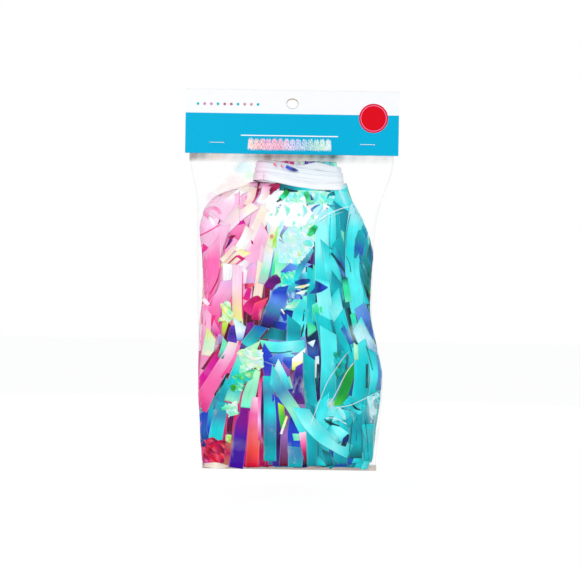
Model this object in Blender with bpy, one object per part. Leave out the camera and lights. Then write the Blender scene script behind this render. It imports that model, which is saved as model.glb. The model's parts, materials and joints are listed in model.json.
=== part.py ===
# A tassel garland in its hang pack.
# A folded header card with a peg hole is stapled over the mouth of a clear film bag.
# In the bag lies the garland: fringed film tassels, threaded by the heads on one flat
# ribbon, which is then wound round the bunched heads to hold them as one neck.
# Metres, +Z up. The pack hangs upright, its front faces -Y, and the origin is the
# centre of the peg hole, midway between the two flaps of the card.

from math import cos
from math import hypot
from math import pi
from math import sin

import bmesh
import bpy

MM = 0.001

# The bag's flat film sets the width, and the header card overhangs it at each side
BAG_WIDTH = 184.0 * MM
CARD_OVERHANG = 4.0 * MM

# Header card
CARD_HEIGHT = 58.0 * MM
BOARD = 0.4 * MM
PEG_HOLE_WIDTH = 10.0 * MM
PEG_HOLE_HEIGHT = 8.2 * MM
PEG_HOLE_DROP = 12.6 * MM
PEG_HOLE_SIDES = 28
FOLD_SIDES = 6
PLAIN_BACK_SHARE = 0.55

# Clearances that the pieces share
FIT_GAP = 0.3 * MM
CUT_OVERRUN = 2.0 * MM

# Staples
STAPLE_CROWN = 12.7 * MM
STAPLE_WIRE = 0.55 * MM
STAPLE_CLINCH = 4.2 * MM
STAPLE_BEND = 0.8 * MM
STAPLE_RISE = 9.8 * MM
BEND_STEPS = 4
STAPLE_PLACE_SHARES = {"staple_left": -0.703, "staple_right": 0.709}

# Film bag
FILM_WALL = 0.3 * MM
MOUTH_SPACE = 0.5 * MM
MOUTH_BELOW_PEG_HOLE = 4.0 * MM
MOUTH_INSET = 0.2 * MM
BAG_LENGTH = 282.8 * MM
BAG_DEPTH = 48.0 * MM
HEM_HEIGHT = 4.0 * MM
BAG_FLOOR_DEPTH = 12.6 * MM
FLOOR_ROWS = 2
SIDE_ROOM = 6.0 * MM
CONTENT_GAP = 1.1 * MM
EDGE_THIN_SHARE = 0.43
FOLD_ROOM = 0.25 * MM
NECK_ROOM = 3.5 * MM
BULGE_ROOM = 9.0 * MM
SECTION_POWER = 3.4
SECTION_POINTS = 16

# The film leaves the card flat and opens over the neck of the bunch: each row gives
# its place between the flat stretch and the ribbon, and its depth as a share of the neck's
SHELF_SHARES = ((0.14, 0.6), (0.28, 0.92), (0.6, 1.0))

# Further down each row gives its place down the bag, its left and right edges as shares
# of half the flat film's width, its depth as a share of the bag's, and how far its bulge has
# grown from the neck's width to the bag's
BODY_SHARES = (
    (0.070, -0.969, 0.971, 0.60, 0.25),
    (0.115, -0.932, 0.913, 0.66, 0.60),
    (0.150, -0.920, 0.880, 0.72, 0.90),
    (0.190, -0.918, 0.847, 0.78, 1.00),
    (0.270, -0.914, 0.821, 0.88, 1.00),
    (0.400, -0.908, 0.812, 0.97, 1.00),
    (0.520, -0.897, 0.808, 1.00, 1.00),
    (0.620, -0.877, 0.868, 1.00, 1.00),
    (0.700, -0.868, 0.932, 1.00, 1.00),
    (0.840, -0.857, 0.909, 0.97, 1.00),
    (0.930, -0.842, 0.883, 0.85, 1.00),
    (0.962, -0.836, 0.874, 0.70, 1.00),
    (0.975, -0.830, 0.875, 0.56, 1.00),
)

# Above this place down the bag the film is never shallower than over the neck
NECK_REACH_SHARE = 0.5

# Ribbon
RIBBON_WIDTH = 7.0 * MM
RIBBON_THICK = 0.3 * MM
RIBBON_GAP = 0.45 * MM
RIBBON_TAIL = 1.0 * MM
RIBBON_TURNS = 7
END_POINTS = 8
RUN_POINTS = 4
NECK_SHIFT = 7.0 * MM
NECK_DROP = 19.4 * MM
NECK_SLANT = 2.6 * MM
BAND_HEIGHT = 21.0 * MM
TURN_SWING = 2.1

# Tassels
TASSEL_ROWS = 2
TASSELS_PER_ROW = 7
STRIPS_PER_TASSEL = 7
SLABS_PER_ROW = 3
LAYERS_PER_TASSEL = 3
HEAD_WIDTH = 8.8 * MM
HEAD_DEPTH = 4.4 * MM
HEAD_RISE = 1.4 * MM
HEAD_TOP_SHARE = 0.27
HEAD_TOP_WIDTH_SHARE = 0.8
HEAD_SHOULDER_SHARE = 0.09
HEAD_TIE_DROP = 1.5 * MM
THREAD_DROP = 15.8 * MM
STRIP_WIDTH = 12.0 * MM
STRIP_THICK = 0.35 * MM
LAYER_GAP = 0.5 * MM
STRIP_SPACE = 0.25 * MM
STRIP_STEP = 4.3 * MM
STRIP_WANDER = 8.0 * MM
FLARE_SHARES = ((0.020, 0.0, 1.0), (0.045, 0.62, 1.15), (0.10, 0.96, 1.5))
FALL_SHARES = (0.26, 0.46, 0.66, 0.84, 1.0)
FLARE_WIDTH_SHARE = 0.66
TIP_CORE_SHARE = 0.3
TIP_RAISE_SHARE = 0.16
TIP_START = 5

# The strips drift sideways by a repeatable wave of their numbers
WAVE_SHARES = (2.7, 1.9, 0.6)
DRIFT_SHARES = (1.3, 0.4)

TASSEL_COLOURS = (
    ("pale_pink", (0.93, 0.45, 0.62)),
    ("hot_pink", (0.93, 0.20, 0.42)),
    ("magenta", (0.68, 0.02, 0.27)),
    ("pearl", (0.86, 0.86, 0.62)),
    ("violet", (0.13, 0.03, 0.45)),
    ("turquoise", (0.10, 0.68, 0.72)),
    ("aqua", (0.22, 0.90, 0.85)),
    ("rose", (0.95, 0.33, 0.52)),
    ("coral", (0.96, 0.22, 0.20)),
    ("peach", (0.95, 0.70, 0.62)),
    ("purple", (0.25, 0.02, 0.50)),
    ("blue", (0.04, 0.16, 0.60)),
    ("teal", (0.03, 0.45, 0.53)),
    ("mint", (0.30, 0.85, 0.55)),
)

# Places worked out from the sizes above
CARD_WIDTH = BAG_WIDTH + 2 * CARD_OVERHANG
MOUTH_HALF = MOUTH_SPACE / 2 + FILM_WALL
FLAP_HALF = MOUTH_HALF + FIT_GAP
CARD_HALF = FLAP_HALF + BOARD
CARD_TOP = PEG_HOLE_DROP
CARD_BOTTOM = CARD_TOP - CARD_HEIGHT
FOLD_AXIS = CARD_BOTTOM - MOUTH_HALF - FOLD_ROOM
MOUTH_TOP = -PEG_HOLE_HEIGHT / 2 - MOUTH_BELOW_PEG_HOLE
MOUTH_BOTTOM = CARD_BOTTOM + MOUTH_INSET
BAG_TOP = FOLD_AXIS + FOLD_ROOM
BAG_BOTTOM = FOLD_AXIS - BAG_LENGTH
BAG_FLOOR = BAG_BOTTOM + HEM_HEIGHT + FILM_WALL + FIT_GAP
FLAT_END = FOLD_AXIS - CARD_HALF - FIT_GAP - FOLD_ROOM
ROW_PITCH = HEAD_DEPTH + FIT_GAP
HEAD_PITCH = HEAD_WIDTH + FIT_GAP
HEADS_HALF = (TASSELS_PER_ROW * HEAD_PITCH - FIT_GAP) / 2
TURN_PITCH = RIBBON_THICK + RIBBON_GAP
WIND_START = ROW_PITCH / 2 + HEAD_DEPTH / 2 + FIT_GAP + RIBBON_THICK / 2
WIND_END = WIND_START + RIBBON_TURNS * TURN_PITCH
NECK_HALF = WIND_END + RIBBON_THICK / 2 + NECK_ROOM
NECK_BULGE = HEADS_HALF + WIND_END + BULGE_ROOM
BAND_CENTRE = FOLD_AXIS - NECK_DROP
BAND_TOP = BAND_CENTRE + BAND_HEIGHT / 2 + NECK_SLANT
HEAD_TOP = BAND_TOP + HEAD_RISE
THREAD_HEIGHT = FOLD_AXIS - THREAD_DROP
LAYERS = TASSEL_ROWS * SLABS_PER_ROW * LAYERS_PER_TASSEL
STACK_HALF = (LAYERS - 1) / 2 * (STRIP_THICK + LAYER_GAP)
TIE_LOW = BAND_CENTRE - BAND_HEIGHT / 2 - NECK_SLANT - HEAD_TIE_DROP


def clear_scene():
    for item in list(bpy.data.objects):
        bpy.data.objects.remove(item, do_unlink=True)


def make_finish(name, colour, roughness, metallic=0.0, alpha=1.0):
    finish = bpy.data.materials.new(name)
    finish.use_nodes = True
    shader = finish.node_tree.nodes["Principled BSDF"]
    shader.inputs["Base Color"].default_value = (*colour, 1.0)
    shader.inputs["Roughness"].default_value = roughness
    shader.inputs["Metallic"].default_value = metallic
    shader.inputs["Alpha"].default_value = alpha
    finish.diffuse_color = (*colour, alpha)
    return finish


def make_empty(name, height, parent=None):
    empty = bpy.data.objects.new(name, None)
    bpy.context.collection.objects.link(empty)
    parent_height = 0.0
    if parent:
        empty.parent = parent
        parent_height = parent["height"]
    empty["height"] = height
    empty.location = (0.0, 0.0, height - parent_height)
    return empty


def add_piece(name, points, faces, finish, parent):
    """A mesh object whose origin lies on its parent, from points in world places."""
    lift = parent["height"]
    mesh = bpy.data.meshes.new(name)
    mesh.from_pydata([(x, y, z - lift) for x, y, z in points], [], faces)
    work = bmesh.new()
    work.from_mesh(mesh)
    bmesh.ops.recalc_face_normals(work, faces=work.faces)
    work.to_mesh(mesh)
    work.free()
    mesh.materials.append(finish)
    piece = bpy.data.objects.new(name, mesh)
    bpy.context.collection.objects.link(piece)
    piece.parent = parent
    return piece


def add_cut(piece, cutter, name):
    cutter.hide_render = True
    cutter.display_type = "WIRE"
    cut = piece.modifiers.new(name, "BOOLEAN")
    cut.operation = "DIFFERENCE"
    cut.object = cutter


def bridge(first, second):
    """Quads between two closed rings of point numbers."""
    count = len(first)
    return [
        (first[i], first[(i + 1) % count], second[(i + 1) % count], second[i])
        for i in range(count)
    ]


def boxes(name, blocks, finish, parent):
    """One object of separate boxes, each given by its low and high corners."""
    points = []
    faces = []
    for low, high in blocks:
        base = len(points)
        for z in (low[2], high[2]):
            for x, y in ((0, 0), (1, 0), (1, 1), (0, 1)):
                points.append(((low[0], high[0])[x], (low[1], high[1])[y], z))
        bottom = [base, base + 1, base + 2, base + 3]
        top = [number + 4 for number in bottom]
        faces += [tuple(bottom), tuple(top)] + bridge(bottom, top)
    return add_piece(name, points, faces, finish, parent)


# Header card


def card_profile(half):
    """One side of the folded board, from the front flap's edge over to the back's."""
    middle = CARD_TOP - CARD_HEIGHT * PLAIN_BACK_SHARE
    spring = CARD_TOP - CARD_HALF
    line = [(-half, CARD_BOTTOM), (-half, middle)]
    for step in range(FOLD_SIDES + 1):
        turn = pi * step / FOLD_SIDES
        line.append((-half * cos(turn), spring + half * sin(turn)))
    return line + [(half, middle), (half, CARD_BOTTOM)]


def make_card(finish, parent):
    outer = card_profile(CARD_HALF)
    inner = card_profile(FLAP_HALF)
    count = len(outer)
    points = []
    for x in (-CARD_WIDTH / 2, CARD_WIDTH / 2):
        points += [(x, y, z) for y, z in outer + inner]
    far = 2 * count
    section = list(range(count)) + list(range(2 * count - 1, count - 1, -1))
    faces = bridge(section, [number + far for number in section])
    for i in range(count - 1):
        end = (i, i + 1, i + 1 + count, i + count)
        faces.append(end)
        faces.append(tuple(number + far for number in end))
    card = add_piece("header_card", points, faces, finish, parent)
    add_cut(card, make_peg_punch(finish, parent), "peg_hole")
    return card


def make_peg_punch(finish, parent):
    """The oval punch that cuts the peg hole through both flaps."""
    reach = CARD_HALF + CUT_OVERRUN
    points = []
    for y in (-reach, reach):
        for step in range(PEG_HOLE_SIDES):
            turn = 2 * pi * step / PEG_HOLE_SIDES
            points.append((PEG_HOLE_WIDTH / 2 * cos(turn), y, PEG_HOLE_HEIGHT / 2 * sin(turn)))
    near = list(range(PEG_HOLE_SIDES))
    away = [number + PEG_HOLE_SIDES for number in near]
    faces = [tuple(near), tuple(away)] + bridge(near, away)
    return add_piece("peg_punch", points, faces, finish, parent)


# Staples


def staple_places():
    return {name: share * CARD_WIDTH / 2 for name, share in STAPLE_PLACE_SHARES.items()}


def leg_places():
    half = (STAPLE_CROWN - STAPLE_WIRE) / 2
    return [x + side * half for x in staple_places().values() for side in (-1, 1)]


def make_leg_punches(finish, parent):
    """One cutter for all the holes that the staple legs pass through."""
    half = STAPLE_WIRE / 2 + FIT_GAP
    reach = CARD_HALF + CUT_OVERRUN
    height = CARD_BOTTOM + STAPLE_RISE
    blocks = [
        ((x - half, -reach, height - half), (x + half, reach, height + half))
        for x in leg_places()
    ]
    return boxes("leg_punches", blocks, finish, parent)


def bend_points(corner, start, end):
    """A rounded corner of the wire, from the run on the start side to the end side."""
    x, y = corner
    line = []
    for step in range(BEND_STEPS + 1):
        share = step / BEND_STEPS
        into = (1 - share) ** 2 * STAPLE_BEND
        out = share**2 * STAPLE_BEND
        line.append((x + start[0] * into + end[0] * out, y + start[1] * into + end[1] * out))
    return line


def make_staple(name, centre, finish, parent):
    """Round wire: a crown on the front flap, two legs and their clinched ends behind."""
    half = (STAPLE_CROWN - STAPLE_WIRE) / 2
    face = CARD_HALF + FIT_GAP + STAPLE_WIRE / 2
    line = [(-half + STAPLE_CLINCH, face)]
    line += bend_points((-half, face), (1, 0), (0, -1))
    line += bend_points((-half, -face), (0, 1), (1, 0))
    line += [(-x, y) for x, y in reversed(line)]
    wire = bpy.data.curves.new(name, "CURVE")
    wire.dimensions = "3D"
    wire.bevel_depth = STAPLE_WIRE / 2
    wire.bevel_resolution = 1
    wire.use_fill_caps = True
    spline = wire.splines.new("POLY")
    spline.points.add(len(line) - 1)
    for point, (x, y) in zip(spline.points, line):
        point.co = (x, y, 0.0, 1.0)
    wire.materials.append(finish)
    staple = bpy.data.objects.new(name, wire)
    bpy.context.collection.objects.link(staple)
    staple.parent = parent
    staple.location = (centre, 0.0, CARD_BOTTOM + STAPLE_RISE)
    return staple


# Film bag


def bag_rows():
    """Rows of the bag below its flat mouth, from the top: height, left, right, depth, bulge."""
    side = BAG_WIDTH / 2
    rows = []
    for drop, depth in SHELF_SHARES:
        height = FLAT_END + (BAND_TOP - FLAT_END) * drop
        rows.append((height, -side, side, depth * NECK_HALF, 0.0))
    for drop, left, right, depth, bulge in BODY_SHARES:
        height = FOLD_AXIS - BAG_LENGTH * drop
        half = depth * BAG_DEPTH / 2
        if drop < NECK_REACH_SHARE:
            half = max(half, NECK_HALF)
        rows.append((height, left * side, right * side, half, bulge))
    return rows


def film_half(row, x):
    """Half the depth of the bag's outside at x in one row."""
    _, left, right, depth, bulge = row
    centre = NECK_SHIFT + ((left + right) / 2 - NECK_SHIFT) * bulge
    width = NECK_BULGE + ((right - left) / 2 - NECK_BULGE) * bulge
    reach = min(abs(x - centre) / width, 1.0)
    return max(depth * (1 - reach**SECTION_POWER) ** (1 / SECTION_POWER), MOUTH_HALF)


def rows_around(height):
    """The rows above and below a height, and how far down between them it lies."""
    rows = bag_rows()
    for above, below in zip(rows, rows[1:]):
        if below[0] <= height:
            return above, below, (above[0] - height) / (above[0] - below[0])
    return rows[-1], rows[-1], 0.0


def sides_at(height):
    """The bag's left and right edges at any height."""
    above, below, share = rows_around(height)
    return tuple(above[i] + (below[i] - above[i]) * share for i in (1, 2))


def bunch_half_at(height, x):
    """Half the depth of the bunch of strips at any height and place."""
    above, below, share = rows_around(height)
    depth = above[3] + (below[3] - above[3]) * share
    left, right = sides_at(height)
    reach = abs(2 * x - left - right) / (right - left - 2 * SIDE_ROOM)
    whole = depth - FILM_WALL - CONTENT_GAP - STRIP_THICK / 2
    return whole * (1 - EDGE_THIN_SHARE * reach**3)


def section_points(row, height, wall):
    """A closed ring round one row, the front from left to right and then the back."""
    _, left, right, _, _ = row
    centre = (left + right) / 2
    reach = (right - left) / 2
    front = [(left, 0.0)]
    for step in range(1, SECTION_POINTS):
        x = centre + reach * sin(pi / 2 * (2 * step / SECTION_POINTS - 1))
        front.append((x, -film_half(row, x)))
    front.append((right, 0.0))
    ring = front + [(x, -y) for x, y in front[-2:0:-1]]
    return [(x, y, height) for x, y in inset(ring, wall)]


def inset(ring, wall):
    """The same closed outline, drawn in by the wall along its own normals."""
    line = []
    count = len(ring)
    for i, (x, y) in enumerate(ring):
        before = ring[i - 1]
        after = ring[(i + 1) % count]
        run = after[0] - before[0]
        rise = after[1] - before[1]
        length = hypot(run, rise)
        line.append((x - rise / length * wall, y + run / length * wall))
    return line


def close_ring(ring):
    """Faces over a ring, as quads between its front and back points."""
    count = len(ring)
    half = count // 2
    faces = [(ring[0], ring[1], ring[-1]), (ring[half], ring[half - 1], ring[half + 1])]
    for i in range(1, half - 1):
        faces.append((ring[i], ring[i + 1], ring[count - i - 1], ring[count - i]))
    return faces


def flat_row(height, width_row):
    _, left, right, _, _ = width_row
    return (height, left, right, MOUTH_HALF, 0.0)


def make_bag_film(finish, parent):
    rows = bag_rows()
    outer = [flat_row(BAG_TOP, rows[0]), flat_row(FLAT_END, rows[0])] + rows
    floor = (BAG_FLOOR, rows[-1][1], rows[-1][2], BAG_FLOOR_DEPTH / 2 + FILM_WALL, 1.0)
    inner = [(outer[0], BAG_TOP), (outer[1], FLAT_END - FILM_WALL)]
    for number, row in enumerate(rows):
        drop = -FILM_WALL if number < len(SHELF_SHARES) else 0.0
        lift = FILM_WALL if number >= len(rows) - FLOOR_ROWS else 0.0
        inner.append((row, row[0] + drop + lift))
    inner.append((floor, BAG_FLOOR))
    below = (BAG_FLOOR - FILM_WALL, *floor[1:])
    hem_top = flat_row(BAG_BOTTOM + HEM_HEIGHT, rows[-1])
    hem_end = flat_row(BAG_BOTTOM, rows[-1])
    outer += [below, hem_top, hem_end]
    outside = [section_points(row, row[0], 0.0) for row in outer]
    inside = [section_points(row, height, FILM_WALL) for row, height in inner]
    points = [point for ring in outside + inside for point in ring]
    count = len(outside[0])
    numbers = [list(range(i * count, (i + 1) * count)) for i in range(len(outside + inside))]
    skin = numbers[: len(outside)]
    lining = numbers[len(outside) :]
    faces = close_ring(skin[-1]) + close_ring(lining[-1]) + bridge(skin[0], lining[0])
    for wall in (skin, lining):
        for upper, lower in zip(wall, wall[1:]):
            faces += drape(upper, lower)
    return add_piece("bag_film", points, faces, finish, parent)


def drape(upper, lower):
    """Triangles between two rings, split alike on the film's outside and inside."""
    faces = []
    for i in range(len(upper)):
        after = (i + 1) % len(upper)
        faces.append((upper[i], upper[after], lower[after]))
        faces.append((upper[i], lower[after], lower[i]))
    return faces


def make_bag_mouth(finish, parent):
    """The two plies of the bag inside the card, open at the top and the bottom."""
    row = flat_row(MOUTH_TOP, bag_rows()[0])
    rings = [
        section_points(row, MOUTH_TOP, 0.0),
        section_points(row, MOUTH_BOTTOM, 0.0),
        section_points(row, MOUTH_BOTTOM, FILM_WALL),
        section_points(row, MOUTH_TOP, FILM_WALL),
    ]
    count = len(rings[0])
    points = [point for ring in rings for point in ring]
    numbers = [list(range(i * count, (i + 1) * count)) for i in range(len(rings))]
    faces = []
    for first, second in zip(numbers, numbers[1:] + numbers[:1]):
        faces += bridge(first, second)
    return add_piece("bag_mouth", points, faces, finish, parent)


# Ribbon


def neck_tilt(offset):
    """How far the band drops at a distance from the neck's middle: it slants to the right."""
    return -NECK_SLANT * min(max(offset / HEADS_HALF, -1.0), 1.0)


def ribbon_path():
    """The ribbon's middle line: through both rows of heads, then round the neck."""
    row = ROW_PITCH / 2
    line = [(-HEADS_HALF - RIBBON_TAIL, -row, THREAD_HEIGHT)]
    for step in range(END_POINTS + 1):
        turn = pi * (step / END_POINTS - 0.5)
        line.append((HEADS_HALF + row * cos(turn), row * sin(turn), THREAD_HEIGHT))
    line.append((-HEADS_HALF, row, THREAD_HEIGHT))
    swing = (BAND_HEIGHT - RIBBON_WIDTH) / 2
    first = THREAD_HEIGHT
    for step in range(1, END_POINTS + 1):
        share = step / END_POINTS
        turn = pi * (0.5 + share)
        radius = row + (WIND_START - row) * share
        x = -HEADS_HALF + radius * cos(turn)
        last = BAND_CENTRE + neck_tilt(x)
        line.append((x, radius * sin(turn), first + (last - first) * share))
    per_turn = 2 * (END_POINTS + RUN_POINTS)
    for step in range(1, RIBBON_TURNS * per_turn + 1):
        turns = step / per_turn
        radius = WIND_START + TURN_PITCH * turns
        x, y = stadium_point(step % per_turn, radius)
        height = BAND_CENTRE + neck_tilt(x) + swing * sin(TURN_SWING * turns)
        line.append((x, y, height))
    return [(x + NECK_SHIFT, y, z) for x, y, z in line]


def stadium_point(step, radius):
    """A place on the loop round the neck, from the front run's left end."""
    if step <= RUN_POINTS:
        return -HEADS_HALF + 2 * HEADS_HALF * step / RUN_POINTS, -radius
    step -= RUN_POINTS
    if step <= END_POINTS:
        turn = pi * (step / END_POINTS - 0.5)
        return HEADS_HALF + radius * cos(turn), radius * sin(turn)
    step -= END_POINTS
    if step <= RUN_POINTS:
        return HEADS_HALF - 2 * HEADS_HALF * step / RUN_POINTS, radius
    step -= RUN_POINTS
    turn = pi * (step / END_POINTS + 0.5)
    return -HEADS_HALF + radius * cos(turn), radius * sin(turn)


def make_ribbon(finish, parent):
    line = ribbon_path()
    rings = []
    for i, (x, y, z) in enumerate(line):
        before = line[max(i - 1, 0)]
        after = line[min(i + 1, len(line) - 1)]
        run = hypot(after[0] - before[0], after[1] - before[1])
        side = (after[1] - before[1]) / run * RIBBON_THICK / 2
        out = -(after[0] - before[0]) / run * RIBBON_THICK / 2
        high = z + RIBBON_WIDTH / 2
        low = z - RIBBON_WIDTH / 2
        rings.append(
            [
                (x - side, y - out, high),
                (x + side, y + out, high),
                (x + side, y + out, low),
                (x - side, y - out, low),
            ]
        )
    points = [point for ring in rings for point in ring]
    faces = [(0, 1, 2, 3), tuple(range(len(points) - 4, len(points)))]
    for i in range(len(rings) - 1):
        near = list(range(4 * i, 4 * i + 4))
        faces += bridge(near, [number + 4 for number in near])
    report_ribbon(line)
    return add_piece("ribbon", points, faces, finish, parent)


def report_ribbon(line):
    """Print the ribbon's length and the least gap between its turns."""
    length = 0.0
    for a, b in zip(line, line[1:]):
        length += hypot(b[0] - a[0], b[1] - a[1], b[2] - a[2])
    per_turn = 2 * (END_POINTS + RUN_POINTS)
    least = min(
        hypot(a[0] - b[0], a[1] - b[1]) - RIBBON_THICK
        for i, a in enumerate(line)
        for b in line[i + per_turn // 2 :]
    )
    print("ribbon length mm", round(length / MM, 1), "least gap to itself mm", round(least / MM, 3))


# Tassels


def wave(first, second):
    """A repeatable number from -1 to 1 for a pair of counts."""
    return sin(
        WAVE_SHARES[0] * first + WAVE_SHARES[1] * second + WAVE_SHARES[2] * first * second
    )


def fall_levels():
    """Heights at which every strip has its points: each with its spread and its most depth."""
    low = FOLD_AXIS - BAG_LENGTH * BODY_SHARES[-2][0]
    levels = []
    for drop, spread, stack in FLARE_SHARES:
        levels.append((TIE_LOW + (low - TIE_LOW) * drop, spread, stack * STACK_HALF))
    for drop in FALL_SHARES:
        levels.append((TIE_LOW + (low - TIE_LOW) * drop, 1.0, BAG_DEPTH))
    return levels


def strip_depth(level, x, layer):
    """How far forward or back a layer lies at x in one level."""
    height, _, most = level
    return (2 * layer / (LAYERS - 1) - 1) * min(bunch_half_at(height, x), most)


def group_shift(level_share, seed, low, high, left, right):
    """The sideways drift of one layer of strips, kept within the bag."""
    drift = STRIP_WANDER * level_share * wave(seed, DRIFT_SHARES[0] * level_share + DRIFT_SHARES[1])
    return min(max(drift, left - low), right - high)


def strip_lines(row, place):
    """For each strip of a tassel, its left and right edges at every level."""
    levels = fall_levels()
    columns = STRIPS_PER_TASSEL
    head_x = NECK_SHIFT + (place - (TASSELS_PER_ROW - 1) / 2) * HEAD_PITCH
    span = (columns - 1) * STRIP_STEP
    slab = place % SLABS_PER_ROW
    lines = [[] for _ in range(columns)]
    for number, level in enumerate(levels):
        height, spread, _ = level
        left, right = sides_at(height)
        left += SIDE_ROOM
        right -= SIDE_ROOM
        inner = (right - left - span - STRIP_WIDTH) / 2
        centre = (left + right) / 2 + inner * (2 * place / (TASSELS_PER_ROW - 1) - 1)
        share = number / (len(levels) - 1)
        for layer in range(LAYERS_PER_TASSEL):
            strips = list(range(layer, columns, LAYERS_PER_TASSEL))
            places = [centre + (i - (columns - 1) / 2) * STRIP_STEP for i in strips]
            low = places[0] - STRIP_WIDTH / 2
            high = places[-1] + STRIP_WIDTH / 2
            seed = (row * TASSELS_PER_ROW + place) * LAYERS_PER_TASSEL + layer
            shift = group_shift(share, seed, low, high, left, right)
            depth_layer = (row * SLABS_PER_ROW + slab) * LAYERS_PER_TASSEL + layer
            for i, x in zip(strips, places):
                start = head_x + (i - (columns - 1) / 2) * HEAD_WIDTH / columns
                middle = start + (x + shift - start) * spread
                half = strip_half_width(number)
                edges = [middle - half, middle + half]
                lines[i].append([(e, strip_depth(level, e, depth_layer), height) for e in edges])
    for i, line in enumerate(lines):
        layer = i % LAYERS_PER_TASSEL
        depth_layer = (row * SLABS_PER_ROW + slab) * LAYERS_PER_TASSEL + layer
        end_strip(line, depth_layer, row * TASSELS_PER_ROW + place, i)
    return lines


def strip_half_width(number):
    if number == 0:
        return (HEAD_WIDTH / STRIPS_PER_TASSEL - STRIP_SPACE) / 2
    if number == 1:
        return STRIP_WIDTH * FLARE_WIDTH_SHARE / 2
    return STRIP_WIDTH / 2


def end_strip(line, layer, tassel, strip):
    """Cut the strip short of the last level, or let a middle one reach the bag's floor."""
    if abs(2 * layer / (LAYERS - 1) - 1) < TIP_CORE_SHARE:
        line.append([(x, y, BAG_FLOOR + FIT_GAP) for x, y, _ in line[-1]])
        return
    share = 1 - TIP_RAISE_SHARE * abs(wave(tassel, strip + TIP_START))
    above, below = line[-2:]
    line[-1] = [
        tuple(a + (b - a) * share for a, b in zip(high, low)) for high, low in zip(above, below)
    ]


def head_rows(head_x):
    """Rows of a head from the top: height, half depth and share of its width."""
    tie = BAND_CENTRE - BAND_HEIGHT / 2 + neck_tilt(head_x - NECK_SHIFT) - HEAD_TIE_DROP
    whole = HEAD_TOP - tie
    return (
        (HEAD_TOP, HEAD_DEPTH / 2 * HEAD_TOP_SHARE, HEAD_TOP_WIDTH_SHARE),
        (HEAD_TOP - whole * HEAD_SHOULDER_SHARE, HEAD_DEPTH / 2, 1.0),
        (tie + HEAD_TIE_DROP, HEAD_DEPTH / 2, 1.0),
        (tie, STRIP_THICK / 2, 1.0),
    )


def make_tassel(row, place, name, finish, parent):
    """A head of gathered film and the strips that are cut from the same sheet."""
    columns = STRIPS_PER_TASSEL
    head_x = NECK_SHIFT + (place - (TASSELS_PER_ROW - 1) / 2) * HEAD_PITCH
    head_y = (row - (TASSEL_ROWS - 1) / 2) * ROW_PITCH
    points = []
    grid = []
    for height, half, width in head_rows(head_x):
        line = []
        for column in range(columns + 1):
            x = head_x + (column / columns - 0.5) * HEAD_WIDTH * width
            points.append((x, head_y - half, height))
            points.append((x, head_y + half, height))
            line.append((len(points) - 2, len(points) - 1))
        grid.append(line)
    faces = head_faces(grid)
    for i, line in enumerate(strip_lines(row, place)):
        add_strip(points, faces, grid[-1][i], grid[-1][i + 1], line)
    tassel = add_piece(name, points, faces, finish, parent)
    add_cut(tassel, bpy.data.objects[f"thread_slot_{row}"], "thread_slot")
    return tassel


def head_faces(grid):
    faces = []
    last = len(grid[0]) - 1
    for upper, lower in zip(grid, grid[1:]):
        for c in range(last):
            faces.append((upper[c][0], upper[c + 1][0], lower[c + 1][0], lower[c][0]))
            faces.append((upper[c][1], upper[c + 1][1], lower[c + 1][1], lower[c][1]))
        for c in (0, last):
            faces.append((upper[c][0], upper[c][1], lower[c][1], lower[c][0]))
    for c in range(last):
        top = grid[0]
        faces.append((top[c][0], top[c + 1][0], top[c + 1][1], top[c][1]))
    return faces


def add_strip(points, faces, left, right, line):
    """One strip, from two edges of its head down its line to a square end."""
    half = STRIP_THICK / 2
    ring = (left[0], right[0], right[1], left[1])
    for (x1, y1, z1), (x2, y2, z2) in line:
        base = len(points)
        points += [(x1, y1 - half, z1), (x2, y2 - half, z2)]
        points += [(x2, y2 + half, z2), (x1, y1 + half, z1)]
        after = (base, base + 1, base + 2, base + 3)
        for near, far in ((0, 1), (3, 2)):
            faces.append((ring[near], ring[far], after[far]))
            faces.append((ring[near], after[far], after[near]))
        for near, far in ((0, 3), (1, 2)):
            faces.append((ring[near], ring[far], after[far], after[near]))
        ring = after
    faces.append(ring)


def make_thread_slots(finish, parent):
    """The loops of the heads: one slot along each row, which the ribbon runs through."""
    half_depth = RIBBON_THICK / 2 + RIBBON_GAP
    half_height = RIBBON_WIDTH / 2 + RIBBON_GAP
    reach = HEADS_HALF + CUT_OVERRUN
    for row in range(TASSEL_ROWS):
        y = (row - (TASSEL_ROWS - 1) / 2) * ROW_PITCH
        low = (NECK_SHIFT - reach, y - half_depth, THREAD_HEIGHT - half_height)
        high = (NECK_SHIFT + reach, y + half_depth, THREAD_HEIGHT + half_height)
        slot = boxes(f"thread_slot_{row}", [(low, high)], finish, parent)
        slot.hide_render = True
        slot.display_type = "WIRE"


def main():
    clear_scene()
    card_finish = make_finish("card", (0.01, 0.46, 0.74), 0.45)
    steel_finish = make_finish("steel", (0.62, 0.63, 0.65), 0.3, metallic=1.0)
    film_finish = make_finish("film", (0.92, 0.95, 0.97), 0.12, alpha=0.25)
    ribbon_finish = make_finish("ribbon", (0.90, 0.93, 0.95), 0.3)

    header = make_empty("header_frame", 0.0)
    bag = make_empty("bag_fold_axis", FOLD_AXIS, header)
    garland = make_empty("garland_seat", FOLD_AXIS, bag)

    punches = make_leg_punches(card_finish, header)
    card = make_card(card_finish, header)
    mouth = make_bag_mouth(film_finish, header)
    for piece in (card, mouth):
        add_cut(piece, punches, "leg_holes")
    for name, centre in staple_places().items():
        make_staple(name, centre, steel_finish, header)
    make_bag_film(film_finish, bag)
    make_ribbon(ribbon_finish, garland)
    make_thread_slots(ribbon_finish, garland)
    for number, (colour_name, colour) in enumerate(TASSEL_COLOURS):
        row, place = divmod(number, TASSELS_PER_ROW)
        finish = make_finish(colour_name, colour, 0.25)
        make_tassel(row, place, f"tassel_{number + 1:02d}_{colour_name}", finish, garland)


main()
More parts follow.
